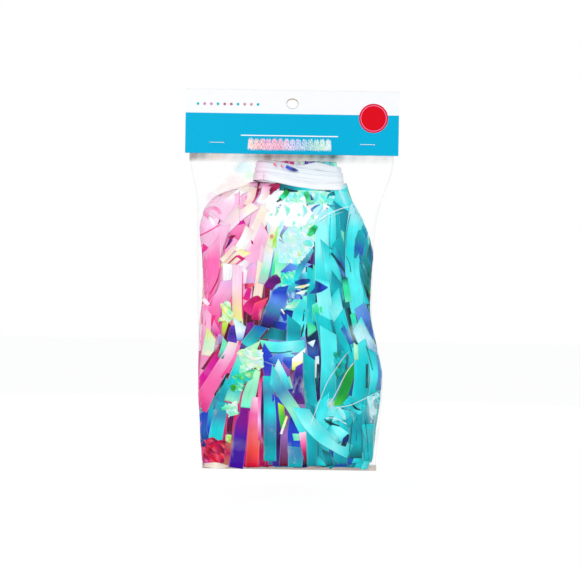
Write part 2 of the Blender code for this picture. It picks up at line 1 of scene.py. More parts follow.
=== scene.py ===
# The looks of a tassel garland in its hang pack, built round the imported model.
# Metres, in the model's own frame: +Z up, the front faces -Y, and the origin is the
# centre of the peg hole. Places told in pixels are read off the 580 pixel frame.

import json

import bpy
import numpy as np
from math import pi
from math import radians
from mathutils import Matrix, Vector

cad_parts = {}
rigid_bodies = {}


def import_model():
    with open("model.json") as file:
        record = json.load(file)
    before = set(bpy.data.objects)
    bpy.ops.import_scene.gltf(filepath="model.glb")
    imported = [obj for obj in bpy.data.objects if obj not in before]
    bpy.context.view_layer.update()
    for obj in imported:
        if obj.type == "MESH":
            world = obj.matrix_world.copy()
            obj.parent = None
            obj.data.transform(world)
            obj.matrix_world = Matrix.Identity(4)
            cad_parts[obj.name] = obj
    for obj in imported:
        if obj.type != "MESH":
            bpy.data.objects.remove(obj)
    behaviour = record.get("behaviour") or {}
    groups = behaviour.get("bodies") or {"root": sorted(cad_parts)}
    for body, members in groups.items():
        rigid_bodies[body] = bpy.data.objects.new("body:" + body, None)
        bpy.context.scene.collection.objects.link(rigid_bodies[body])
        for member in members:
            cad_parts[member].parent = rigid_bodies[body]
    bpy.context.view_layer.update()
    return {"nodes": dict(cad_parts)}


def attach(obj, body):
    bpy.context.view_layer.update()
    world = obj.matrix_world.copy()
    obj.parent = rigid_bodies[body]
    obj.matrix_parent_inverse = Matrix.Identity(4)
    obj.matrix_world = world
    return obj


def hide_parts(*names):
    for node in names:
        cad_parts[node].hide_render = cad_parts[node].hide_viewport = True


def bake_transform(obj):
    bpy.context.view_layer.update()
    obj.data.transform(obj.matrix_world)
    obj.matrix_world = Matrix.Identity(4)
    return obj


MM = 0.001

# The camera looks straight at the pack, through a long lens and with a slight roll
IMAGE_SIDE = 580
PIXEL = 0.9 * MM
HOLE_PIXEL = (292.5, 104.0)
ROLL = radians(0.9)
LENS = 135.0
SENSOR = 36.0
DISTANCE = IMAGE_SIDE * PIXEL * LENS / SENSOR

# Sizes that the model's source gives
CARD_HALF = 1.25 * MM
CARD_BOTTOM = -45.4 * MM
FOLD_AXIS = -46.2 * MM
MOUTH_TOP = -8.1 * MM
BAG_BOTTOM = -329.0 * MM
BAG_HALF_DEPTH = 24.0 * MM
HEM_TOP = -325.0 * MM
FLAT_HALF = 0.55 * MM
SECTION_POWER = 3.4
NECK_X = 7.0 * MM
NECK_BULGE = 50.95 * MM
HEADS_HALF = 31.7 * MM
HEAD_PITCH = 9.1 * MM
ROW_PITCH = 4.7 * MM
HEAD_TOP = -51.1 * MM
THREAD_HEIGHT = -62.0 * MM
WIND_START = 5.0 * MM
TURN_PITCH = 0.75 * MM
TURNS = 7
RIBBON_WIDTH = 7.0 * MM
PER_ROW = 7

# Rows of the film from the fold down: height, left, right, half depth in millimetres,
# and how far the bulge has grown from the neck's width to the bag's
FILM_ROWS = (
    (-45.95, -92.0, 92.0, 0.55, 0.0),
    (-48.0, -92.0, 92.0, 0.55, 0.0),
    (-48.63, -92.0, 92.0, 8.34, 0.0),
    (-49.26, -92.0, 92.0, 12.78, 0.0),
    (-50.7, -92.0, 92.0, 13.9, 0.0),
    (-66.0, -89.15, 89.33, 14.4, 0.25),
    (-78.7, -85.74, 84.0, 15.84, 0.6),
    (-88.6, -84.64, 80.96, 17.28, 0.9),
    (-99.9, -84.46, 77.92, 18.72, 1.0),
    (-122.6, -84.09, 75.53, 21.12, 1.0),
    (-159.3, -83.54, 74.7, 23.28, 1.0),
    (-193.3, -82.52, 74.34, 24.0, 1.0),
    (-221.5, -80.68, 79.86, 24.0, 1.0),
    (-244.2, -79.86, 85.74, 24.0, 1.0),
    (-283.8, -78.84, 83.63, 23.28, 1.0),
    (-309.2, -77.46, 81.24, 20.4, 1.0),
    (-318.2, -76.91, 80.41, 16.8, 1.0),
    (-321.9, -76.36, 80.5, 13.44, 1.0),
    (-324.7, -76.36, 80.5, 6.6, 1.0),
    (-325.0, -76.36, 80.5, 0.55, 1.0),
    (-329.0, -76.36, 80.5, 0.55, 1.0),
)
FILM_EASED = (-62.0 * MM, -306.0 * MM)
FILM_EASE_ROWS = 8
RIM_SHARE = 0.0004

# Rows of the bunch's inner shell: pixel row, left and right pixels, half depth in
# millimetres. The strips that show are piled on it. The inset is in millimetres too.
BUNCH_ROWS = (
    (184.0, 258.0, 343.0, 4.6),
    (189.0, 239.0, 344.0, 5.6),
    (196.0, 221.0, 347.0, 8.0),
    (205.0, 211.0, 351.3, 10.6),
    (215.0, 207.0, 357.3, 12.4),
    (226.0, 203.5, 362.3, 13.8),
    (238.0, 204.0, 366.3, 15.0),
    (252.0, 206.0, 369.8, 16.4),
    (280.0, 207.0, 367.3, 16.6),
    (305.0, 206.0, 366.3, 17.0),
    (320.0, 204.0, 367.3, 17.2),
    (345.0, 202.5, 373.3, 17.2),
    (370.0, 202.0, 378.3, 17.2),
    (400.0, 202.0, 377.3, 16.8),
    (425.0, 203.5, 373.3, 15.8),
    (445.0, 204.0, 370.3, 14.6),
    (460.0, 204.5, 368.3, 11.6),
    (467.0, 206.5, 364.3, 8.6),
)
BUNCH_POWER = 3.0
BUNCH_EASE_ROWS = 5
INNER_INSET = 14

# How finely the shells are told, and how the strips pile up on the bunch
RING_POINTS = 721
AROUND_CELLS = 900
DOWN_STEP = 0.8 * MM
CROSS_CELLS = 15
FILM_STEP = 0.2 * MM
PILE_MOST = 5.4 * MM
PILE_LEAST_SHARE = 0.08
PILE_EASE_ROWS = 2
KNOT_STEPS = 12

COLOURS = {
    "white": (255, 255, 255),
    "frost": (236, 246, 252),
    "cream": (255, 241, 222),
    "peach": (255, 214, 196),
    "lemon": (246, 241, 150),
    "lime": (186, 236, 50),
    "leaf": (80, 205, 60),
    "blush": (255, 216, 236),
    "shell": (255, 232, 228),
    "petal": (255, 200, 230),
    "pink": (253, 178, 216),
    "rose": (252, 140, 196),
    "candy": (255, 108, 176),
    "hot": (242, 45, 140),
    "magenta": (226, 20, 160),
    "crimson": (192, 0, 92),
    "ruby": (226, 0, 62),
    "scarlet": (226, 4, 28),
    "maroon": (96, 0, 44),
    "coral": (255, 92, 118),
    "salmon": (255, 122, 132),
    "flame": (255, 82, 72),
    "tan": (205, 140, 100),
    "orchid": (240, 190, 238),
    "lavender": (205, 170, 230),
    "mauve": (160, 105, 180),
    "violet": (108, 60, 200),
    "purple": (132, 0, 142),
    "plum": (86, 0, 106),
    "grape": (76, 12, 172),
    "indigo": (58, 42, 152),
    "night": (30, 10, 70),
    "navy": (0, 40, 120),
    "royal": (32, 64, 204),
    "blue": (20, 95, 185),
    "sky": (92, 145, 232),
    "periwinkle": (96, 160, 226),
    "slate": (58, 140, 184),
    "ice": (196, 242, 250),
    "pale_aqua": (144, 250, 248),
    "aqua": (78, 238, 240),
    "turquoise": (20, 218, 222),
    "teal": (0, 190, 198),
    "deep_teal": (0, 152, 170),
    "pine": (0, 100, 106),
    "ink": (0, 52, 62),
    "mint": (112, 246, 206),
    "spring": (42, 232, 162),
    "emerald": (14, 160, 60),
    "pistachio": (200, 255, 202),
    "seafoam": (148, 238, 196),
    "sand": (222, 202, 188),
    "grey": (196, 202, 206),
    "board_and_shade": (160, 144, 92),
    "ash_light": (198, 208, 206),
    "ash": (160, 154, 150),
    "shaded_red": (146, 104, 100),
    "olive": (122, 124, 78),
}

# The front row from left to right, then the back row
TASSELS = (
    "pale_pink", "hot_pink", "magenta", "pearl", "violet", "turquoise", "aqua",
    "rose", "coral", "peach", "purple", "blue", "teal", "mint",
)

# The strips that show in front, from the back of the pile to its front: tassel, width in
# pixels or its steps from the top down, colours from the top down, and the pixels that the
# strip's middle line follows
STRIPS = (
    # Left, from the neck to the waist
    ("pale_pink", 13, "white blush petal pink", (236, 186), (217, 200), (208, 222), (206, 252),
     (207, 290)),
    ("rose", 12, "white blush blush petal pink", (242, 186), (226, 198), (215, 216), (208, 240)),
    ("peach", 12, "white shell blush petal", (250, 186), (236, 204), (226, 224), (218, 246)),
    ("hot_pink", 13, "blush petal pink rose pink", (258, 190), (246, 214), (236, 238), (230, 262),
     (228, 290)),
    ("coral", 12, "blush petal pink pink", (262, 196), (256, 222), (250, 250), (247, 282), (246, 310)),
    ("pale_pink", 15, "white shell blush blush", (250, 187), (234, 192), (219, 201), (209, 214)),
    ("peach", 15, "shell white blush petal", (256, 188), (243, 196), (230, 206), (219, 218)),
    ("rose", 3.6, "rose pink rose pink", (209, 217), (210, 211), (214.6, 208), (219, 210), (221, 214)),
    # This thin white strip is a painted highlight.
    ("pale_pink", 2.4, "white white", (211.6, 217), (214.8, 225)),
    ("pale_pink", 8, "petal pink petal", (205, 222), (203, 230), (201, 238)),
    ("coral", 5, "petal pink", (238, 193), (238, 200), (235, 210)),
    ("pale_pink", 5, "petal pink", (245, 193), (243, 202), (240, 212)),
    ("rose", 1.2, "candy rose", (247, 196), (245, 204), (241.5, 211)),
    ("rose", 1.0, "rose rose", (240.5, 196), (239.5, 203), (238, 209)),
    ("peach", 8, "peach shell peach", (256, 188), (252, 196), (248, 206)),
    ("purple", 3, "mauve lavender orchid", (262, 190), (258, 198), (253, 206)),
    ("magenta", (2.4, 1.2), "maroon crimson coral", (259.6, 183), (258, 192), (255.4, 199), (250, 206)),
    ("peach", 13, "white cream shell blush", (272, 196), (264, 214), (254, 236), (247, 252)),
    ("peach", 9, "shell cream blush white", (256, 205), (244, 213), (233, 223)),
    ("rose", 11, "rose rose candy", (244, 222.5), (239, 230), (234, 237)),
    ("magenta", (4, 2), "magenta magenta hot", (244.6, 221.6), (239, 223.4), (232.6, 224.6)),
    ("magenta", 4, "maroon crimson", (233.5, 235.4), (230.5, 238.6)),
    ("purple", (4, 0.8), "purple plum plum", (231.4, 239), (229, 244), (226, 248.6)),
    ("pale_pink", 13, "shell blush petal pink", (240, 213), (226, 227), (212, 238), (199, 246)),
    ("magenta", 1.1, "candy hot hot", (221.4, 224.4), (211, 230.8), (201.4, 237.4)),
    ("magenta", (7, 1.5), "hot magenta hot crimson", (209, 246), (205, 252), (206.5, 268)),
    ("pale_pink", 13, "petal pink petal rose", (224, 226), (218, 244), (214, 262)),
    ("rose", 14, "petal pink pink pink", (266, 230), (259, 246), (252, 260), (249, 284)),
    ("pale_pink", 11, "blush petal rose", (266, 250), (262, 268), (256, 286)),
    ("magenta", 1.8, "crimson crimson", (252, 240.6), (252.6, 244)),
    ("pearl", 10, "shell white cream", (250, 228), (245, 240), (238, 252)),
    ("pearl", 9, "lemon cream peach lemon", (246, 251), (238, 256), (231, 262), (223, 268)),
    ("pearl", 5, "shell peach cream", (236, 246), (230, 253), (222, 261)),
    ("coral", 3.2, "hot crimson coral", (237.5, 255.6), (243, 259), (249, 265)),
    ("coral", 1.4, "crimson crimson hot", (237.6, 255.6), (231, 261.5), (223.6, 268.5)),
    ("pearl", (13, 4), "white white cream", (230, 264), (228, 276), (226, 290)),
    ("pearl", 12, "white blush", (240, 263), (248, 268)),
    ("rose", 10, "orchid pink lavender", (252, 264), (251, 274), (249, 284)),
    ("pale_pink", 6, "white blush", (245, 268), (243, 284)),
    ("hot_pink", 14, "pink candy candy rose hot", (213.5, 244), (214, 260), (213.5, 276), (210, 290),
     (206, 304)),
    ("hot_pink", 1.4, "hot crimson hot", (221, 268), (218.6, 280), (212, 294)),
    ("rose", 9, "rose candy", (206, 296), (205, 322)),
    ("magenta", (6, 3), "crimson coral", (245, 286.5), (254, 284.6)),
    ("magenta", (4, 7), "hot magenta hot", (250, 288), (246, 300)),
    ("peach", 9, "cream peach cream", (262, 262), (260, 280), (257, 300)),
    ("magenta", 12, "crimson crimson hot", (264, 300), (254, 303), (246, 312)),
    ("coral", 9, "coral hot crimson", (262, 300), (258, 308), (256, 320)),
    ("rose", 15, "orchid pink rose candy hot", (230, 280), (224, 296), (215, 311), (212, 325)),
    ("hot_pink", 8, "hot ruby", (213, 316), (211, 326)),
    ("pale_pink", (4, 3), "white blush", (206.5, 299), (211, 305)),
    ("peach", 10, "blush blush peach lemon pistachio", (238, 265), (237.5, 284), (237.5, 302),
     (238, 320), (240, 334)),
    ("coral", 1.2, "rose hot hot", (243, 272), (242.6, 296), (243, 318)),
    # Left, from the waist to the floor
    ("pale_pink", 13, "pink pink rose pink candy", (207, 306), (206, 330), (207, 352), (206, 374),
     (204, 396)),
    ("magenta", 6, "rose magenta rose", (214, 324), (219, 336), (216, 350)),
    ("pearl", 10, "lemon pistachio cream", (213, 333), (211, 344), (209, 356)),
    ("purple", 6, "lavender mauve", (222, 334), (220, 345)),
    ("pearl", 8, "lemon lime tan", (227, 318), (226, 336)),
    ("magenta", 5, "maroon maroon crimson maroon", (231, 325), (225, 342), (215, 355), (206, 370)),
    ("magenta", (6, 8), "crimson magenta magenta hot", (222, 350), (215, 362), (208, 374), (201, 390)),
    ("magenta", 3, "maroon maroon", (229, 373), (222, 385), (214, 396)),
    ("mint", 6, "seafoam mint pine", (226, 340), (224, 350), (221, 358)),
    ("turquoise", 13, "slate teal royal indigo", (213, 392), (209, 410), (207, 428), (206, 446)),
    ("blue", 8, "royal blue navy", (206, 412), (205, 430), (209, 446)),
    ("hot_pink", (9, 13, 14, 14), "cream blush rose candy candy hot", (235, 338), (229, 356),
     (220, 372), (210, 391), (202, 410)),
    ("hot_pink", 4, "rose candy hot", (240, 345), (233, 362), (223, 378)),
    ("violet", 10, "violet indigo violet", (236, 324), (232, 342)),
    ("pearl", 11, "ice frost periwinkle", (240, 322), (243, 340)),
    ("purple", 7, "purple plum indigo", (251, 322), (247, 338), (243, 350)),
    ("teal", 12, "blue deep_teal turquoise", (262, 326), (254, 336), (246, 346)),
    ("mint", 16, "pistachio mint turquoise teal seafoam", (250, 346), (243, 364), (236, 382),
     (231, 402)),
    ("teal", 9, "turquoise deep_teal slate", (228, 380), (222, 394), (218, 410)),
    ("turquoise", (11, 13, 13), "teal slate turquoise turquoise", (224, 402), (221, 414), (218, 428),
     (216, 443)),
    ("purple", 6, "plum maroon mauve", (233, 408), (230, 426), (230, 452)),
    ("coral", 8, "tan crimson tan", (231, 438), (228, 452), (225, 468)),
    ("mint", (8, 12.5, 14), "pistachio seafoam seafoam mint", (257, 370), (253, 383), (249, 397),
     (247.6, 408)),
    ("purple", (14.5, 14.5), "purple purple grape grape grape", (247.5, 408), (246, 418),
     (242.5, 424), (240, 444), (236, 468)),
    ("magenta", 3, "magenta magenta crimson", (250, 410), (249, 430), (245, 467)),
    ("coral", (8, 12.5, 12.5), "blush candy salmon flame ruby", (256, 397), (255, 414), (254, 434),
     (252, 467)),
    ("rose", 4, "hot candy orchid hot", (261, 378), (260, 402), (260, 440)),
    # Centre, from the neck to the waist
    # These two white pearl strips carry the film's glare here: partly the pearl tassel's own pale colour,
    # partly painted reflection.
    ("pearl", 14, "white white ice pale_aqua", (282, 188), (281, 206), (279, 228), (276, 250)),
    ("pearl", 14, "white frost white ice", (300, 190), (299, 210), (296, 232), (291, 256)),
    ("mint", 13, "mint white pale_aqua pale_aqua", (318, 190), (314, 208), (309, 230), (304, 252)),
    ("coral", (9, 7, 9), "pink shell white", (267, 186), (265, 194), (260, 204)),
    ("teal", 7, "pine deep_teal turquoise aqua", (280, 187), (298, 189), (318, 190.4)),
    ("teal", 8, "deep_teal slate pale_aqua", (330, 190), (330, 200), (326, 210)),
    ("pearl", 9, "white cream pistachio cream", (275, 222), (273, 238), (269, 250), (268, 266)),
    ("mint", 6, "pistachio lime pistachio", (280, 227), (276, 240), (274, 254)),
    ("violet", 5, "lavender violet slate", (287, 224), (284, 232), (281, 244)),
    ("peach", 9, "cream frost seafoam grey", (270, 246), (267, 264), (262, 284)),
    ("blue", 5, "ice slate periwinkle slate", (276, 248), (274, 264), (271, 280)),
    ("mint", 8, "pistachio spring spring", (279, 252), (276, 268), (275, 282)),
    ("mint", 11, "pistachio mint pistachio", (285, 246), (281, 262), (280, 278)),
    ("purple", 10, "plum plum purple", (280, 278), (273, 281), (268, 288)),
    ("blue", 11, "periwinkle sky royal", (304, 262), (294, 267), (284, 276)),
    ("aqua", 12, "ice pale_aqua aqua", (312, 234), (304, 250), (297, 266)),
    ("mint", 14, "mint aqua mint seafoam", (294, 272), (288, 284), (283, 296)),
    ("turquoise", 14, "aqua slate aqua", (312, 278), (300, 281), (290, 284)),
    ("blue", 12, "sky indigo slate ice", (306, 294), (296, 298), (286, 301)),
    ("violet", 17, "blue royal sky slate indigo night", (284, 284), (279, 298), (273, 312), (268, 328)),
    ("teal", 6.5, "turquoise slate turquoise slate", (312, 247), (301, 267), (293, 283), (289, 296)),
    ("turquoise", 15, "mint aqua seafoam turquoise", (306, 296), (297, 304), (290, 314)),
    ("blue", 10, "navy royal", (294, 311), (282, 317)),
    ("aqua", 15, "aqua turquoise aqua turquoise", (303, 300), (300, 316), (297, 336)),
    ("teal", 8.5, "turquoise teal teal turquoise", (311, 268), (311, 288), (311, 308), (311, 328)),
    ("blue", 13, "blue navy blue", (315, 287.5), (327, 287.5)),
    ("mint", 8, "spring turquoise", (317, 268), (317, 283)),
    ("mint", 10, "mint spring turquoise", (317, 302), (317, 322)),
    # Centre, from the waist to the floor
    ("teal", 12, "pine deep_teal pine", (266, 333), (276, 334), (286, 335)),
    ("blue", 8, "navy royal", (274, 324), (286, 327)),
    ("teal", 14, "teal deep_teal turquoise", (294, 320), (294, 334), (293, 346)),
    ("mint", 9, "spring mint", (312, 324), (312, 337)),
    ("blue", 13, "ink navy blue indigo", (312, 334), (312, 348), (311, 362)),
    ("turquoise", 12, "mint aqua pale_aqua turquoise", (262, 346), (276, 348), (290, 347), (305, 346)),
    ("violet", 14, "royal royal violet", (262, 352), (268, 362), (272, 380)),
    ("aqua", 12, "pale_aqua sky blue", (292, 354), (282, 358), (272, 364)),
    ("blue", 10, "sky royal blue", (289, 357), (285, 368)),
    ("violet", 12, "mauve violet indigo", (288, 368), (287, 392)),
    ("purple", 9, "maroon mauve plum", (296, 366), (292, 380), (290, 396)),
    ("pearl", 12, "white white lemon lime", (299, 353), (298, 361), (298, 370)),
    ("violet", 13, "violet indigo indigo plum", (304, 362), (300, 378), (299, 404)),
    ("mint", 13, "mint seafoam turquoise", (284, 380), (288, 394)),
    ("aqua", 9, "ice aqua slate", (276, 364), (283, 378), (288, 392)),
    ("violet", 12, "indigo violet plum", (287, 390), (278, 408), (268, 426)),
    ("violet", 14, "royal indigo night indigo", (279, 398), (279, 420), (279, 444), (279, 466)),
    ("purple", 10, "plum mauve maroon", (287, 402), (286, 430), (284, 466)),
    ("mint", 6, "lime leaf emerald", (281, 404), (282, 416), (284, 428)),
    ("pearl", 2.4, "lemon white", (287, 416), (281, 434)),
    ("blue", 13, "navy royal royal blue", (296, 416), (294, 432), (294, 452)),
    ("mint", 7, "mint seafoam", (293, 437), (300, 437)),
    ("teal", (14, 14), "slate slate teal", (295, 446.5), (295, 467)),
    ("turquoise", (10, 12.5, 12.5), "turquoise slate turquoise slate deep_teal teal", (268, 376),
     (269, 396), (270, 418), (270, 440), (270, 461)),
    ("mint", 12, "aqua slate seafoam aqua turquoise", (271, 374), (284, 395), (295, 411), (303, 427),
     (312, 444)),
    ("magenta", 8, "blush candy crimson maroon", (303, 432), (305, 446), (309, 463)),
    # Right, from the neck to the waist
    ("aqua", 13, "ice aqua turquoise aqua", (338, 188), (346, 202), (355, 222), (361, 248)),
    ("turquoise", 12, "aqua turquoise teal", (331, 190), (336, 204), (338, 224), (338, 250)),
    ("teal", 12, "aqua turquoise teal deep_teal", (346, 190), (356, 212), (364, 236), (367, 262)),
    ("teal", 13, "deep_teal deep_teal teal deep_teal", (340, 206), (341, 224), (341, 244), (340, 262)),
    ("teal", 9, "teal deep_teal", (334, 212), (336, 232), (337, 250)),
    ("mint", 3, "mint mint", (342.4, 231), (342.6, 246)),
    ("aqua", 14.5, "ice pale_aqua pale_aqua aqua turquoise", (325, 208), (322.5, 226), (322, 246),
     (322, 264), (321.5, 284)),
    ("turquoise", 7.5, "pale_aqua aqua turquoise", (331, 208), (332, 228), (332.5, 248)),
    ("turquoise", 13, "teal deep_teal teal", (336, 240), (341, 256), (344, 272)),
    ("blue", 9, "teal blue blue deep_teal", (361, 226), (359, 240), (357, 256), (357, 270)),
    ("mint", 10, "pine deep_teal teal turquoise", (371, 246), (368, 264), (366, 284), (366, 304)),
    ("blue", 6, "deep_teal blue navy blue", (369, 236), (371, 250), (371, 266), (370, 286)),
    ("mint", 5, "deep_teal pine teal", (362, 256), (367, 274), (368, 296)),
    ("teal", 6, "turquoise deep_teal pine", (354, 256), (361, 274), (367, 292)),
    ("turquoise", 14, "turquoise aqua turquoise turquoise", (328, 246), (331, 264), (335, 282),
     (337, 300)),
    ("teal", 6, "turquoise blue sky", (333, 250), (339, 262), (346, 276)),
    ("mint", 2.4, "pine ink pine", (331, 253), (338, 262), (346, 274)),
    ("aqua", 13.5, "ice aqua turquoise aqua aqua aqua", (355, 206), (352.5, 228), (351.5, 250),
     (351.5, 272), (355, 294), (357, 314)),
    ("teal", 13, "deep_teal teal deep_teal", (337, 278), (336, 290), (337, 302)),
    ("mint", 6, "pine spring spring mint", (344, 278), (346, 290), (348, 302)),
    ("teal", (1, 4, 1), "pine ink pine", (362, 285), (366, 296), (367, 306)),
    ("aqua", 14, "aqua pale_aqua aqua turquoise", (322, 280), (324, 300), (328, 320), (333, 342)),
    ("aqua", 13, "turquoise pale_aqua aqua teal", (333, 294), (337, 312), (343, 332), (349, 352)),
    ("teal", 3.5, "ink ink pine", (348, 308), (350, 318), (352, 330)),
    ("blue", 11, "periwinkle sky blue periwinkle", (358, 306), (363, 322), (366, 340)),
    ("mint", 5, "spring turquoise teal", (352, 314), (355, 328), (359, 342)),
    # Right, from the waist to the floor
    ("turquoise", 15, "turquoise teal turquoise aqua", (322, 316), (326, 336), (329, 360), (328, 394)),
    ("turquoise", 15, "turquoise teal teal deep_teal", (338, 316), (343, 336), (346, 358), (344, 382)),
    ("blue", 5, "blue sky blue", (342, 327), (346, 334), (351, 344)),
    ("aqua", 13, "aqua ice periwinkle ice", (356, 324), (362, 338), (371, 356), (376, 376)),
    ("teal", 3, "deep_teal pine pine", (331, 320), (335, 336), (338, 352)),
    ("mint", 14, "deep_teal pine deep_teal teal", (343, 348), (341, 364), (336, 384), (330, 404)),
    ("aqua", 16, "aqua aqua teal turquoise", (328, 330), (329, 360), (328, 390), (329, 422)),
    ("teal", 12, "teal deep_teal teal deep_teal", (309, 356), (309, 378), (311, 402), (314, 432)),
    # A thin white strip here is a painted highlight, and the thin dark one after it painted shade.
    ("pearl", 4, "ice white frost", (317, 356), (317, 378)),
    ("teal", 2.4, "ink pine ink", (318, 364), (317, 390)),
    ("mint", 10, "emerald emerald emerald leaf", (351, 366), (347, 382), (342, 396), (336, 409)),
    ("turquoise", 15, "aqua turquoise teal teal turquoise", (358, 343), (361, 362), (361, 382),
     (358, 404)),
    ("mint", 4, "pistachio seafoam", (355, 344), (356, 360)),
    ("teal", 2.4, "pine pine", (366, 364), (366, 388)),
    ("aqua", 12, "turquoise aqua teal turquoise", (372, 352), (375, 374), (373, 396), (369, 416)),
    ("blue", 5, "periwinkle periwinkle slate", (377, 360), (378, 376), (376, 390)),
    ("teal", 14, "teal deep_teal teal teal", (371, 396), (369, 420), (368, 440), (368, 461)),
    ("teal", 15, "turquoise teal deep_teal teal pine", (357, 402), (357, 420), (356, 438), (356, 458)),
    ("turquoise", 14, "teal turquoise teal deep_teal", (342, 404), (342, 424), (341, 444), (340, 464)),
    ("aqua", 14, "turquoise aqua teal turquoise", (322, 398), (322, 420), (322, 444), (322, 466)),
    ("teal", 10, "deep_teal teal deep_teal", (310, 404), (311, 430), (312, 466)),
    # This thin dark strip is a painted shadow.
    ("mint", 3, "ink ink", (326, 421), (338, 425)),
    ("turquoise", 14, "aqua pale_aqua aqua pale_aqua turquoise", (301, 408), (309, 422), (322, 436),
     (338, 446), (350, 452)),
    ("aqua", 13, "teal aqua pale_aqua teal", (330, 424), (336, 432), (343, 440)),
    ("blue", 5, "navy ink", (347, 434), (343, 446)),
    ("teal", 10, "deep_teal teal deep_teal", (318, 450), (326, 458), (334, 466)),
    ("mint", 8, "pine deep_teal pine", (326, 451), (330, 466)),
    ("turquoise", (12, 3), "turquoise teal teal", (366, 424), (369, 444), (369, 463)),
)

# Patches of crumpled foil: tassel, colours, how high its bumps stand in pixels, its outline
FOILS = (
    ("mint", "aqua pale_aqua mint pistachio white aqua", 0.8, (286, 190), (324, 191), (335, 193),
     (332, 205), (318, 207), (300, 203), (285, 202)),
    # This all-white patch carries the film's glare: partly the pearl tassel's own pale colour, partly
    # painted reflection.
    ("pearl", "white", 0.5, (262, 201), (275, 192), (281, 201), (290, 204), (300, 201), (307, 206),
     (322, 203), (330, 207),
     (321, 213), (318, 219), (310, 220), (306, 226), (297, 224), (290, 228), (281, 225), (271, 227),
     (265, 220), (267, 210)),
    ("aqua", "ice pale_aqua white ice pale_aqua frost pistachio", 0.8, (279, 227), (304, 225),
     (316, 221), (314.6, 245), (300, 264), (279, 263), (276, 244)),
    ("mint", "mint spring turquoise pistachio aqua", 1.0, (281, 272), (296, 270), (293, 285),
     (280, 287)),
    ("blue", "sky indigo royal ice mint", 1.0, (287, 291), (306, 288), (303, 299), (288, 303)),
    ("pearl", "pistachio white lemon spring lime cream", 1.2, (221, 304), (226, 300.5), (232, 302),
     (231, 309), (235, 314), (232, 321), (228, 325), (225, 320),
     (219, 322), (222, 312)),
    ("mint", "pistachio white mint ice seafoam lemon", 1.2, (236, 352), (242, 349), (250, 346.5),
     (258, 350), (264, 349), (263, 358), (265.5, 366), (259, 371),
     (250, 369), (245, 374), (239, 372), (241, 362)),
    ("mint", "turquoise spring pistachio deep_teal leaf", 1.0, (232, 376), (240, 371), (256, 369),
     (253, 379), (246, 383), (243, 391), (233, 391), (236, 383)),
    ("pearl", "mint white spring ice cream", 1.2, (223, 404), (237, 401), (240, 414), (229, 418)),
    ("coral", "crimson ruby crimson scarlet maroon coral", 1.2, (207, 439), (214, 437), (221, 440),
     (228, 438), (226, 446), (230, 452), (224, 458), (226, 463),
     (216, 463), (208, 460), (202.5, 462), (206, 454), (203, 447)),
    ("coral", "lime pistachio tan", 0.8, (226, 434), (232, 435), (231, 443), (226, 441)),
    ("teal", "deep_teal teal pine turquoise emerald", 0.8, (333, 352), (347, 350), (346, 372),
     (336, 382)),
    ("aqua", "ice white pale_aqua aqua", 1.2, (366, 396), (378, 392), (377, 408), (369, 424)),
)
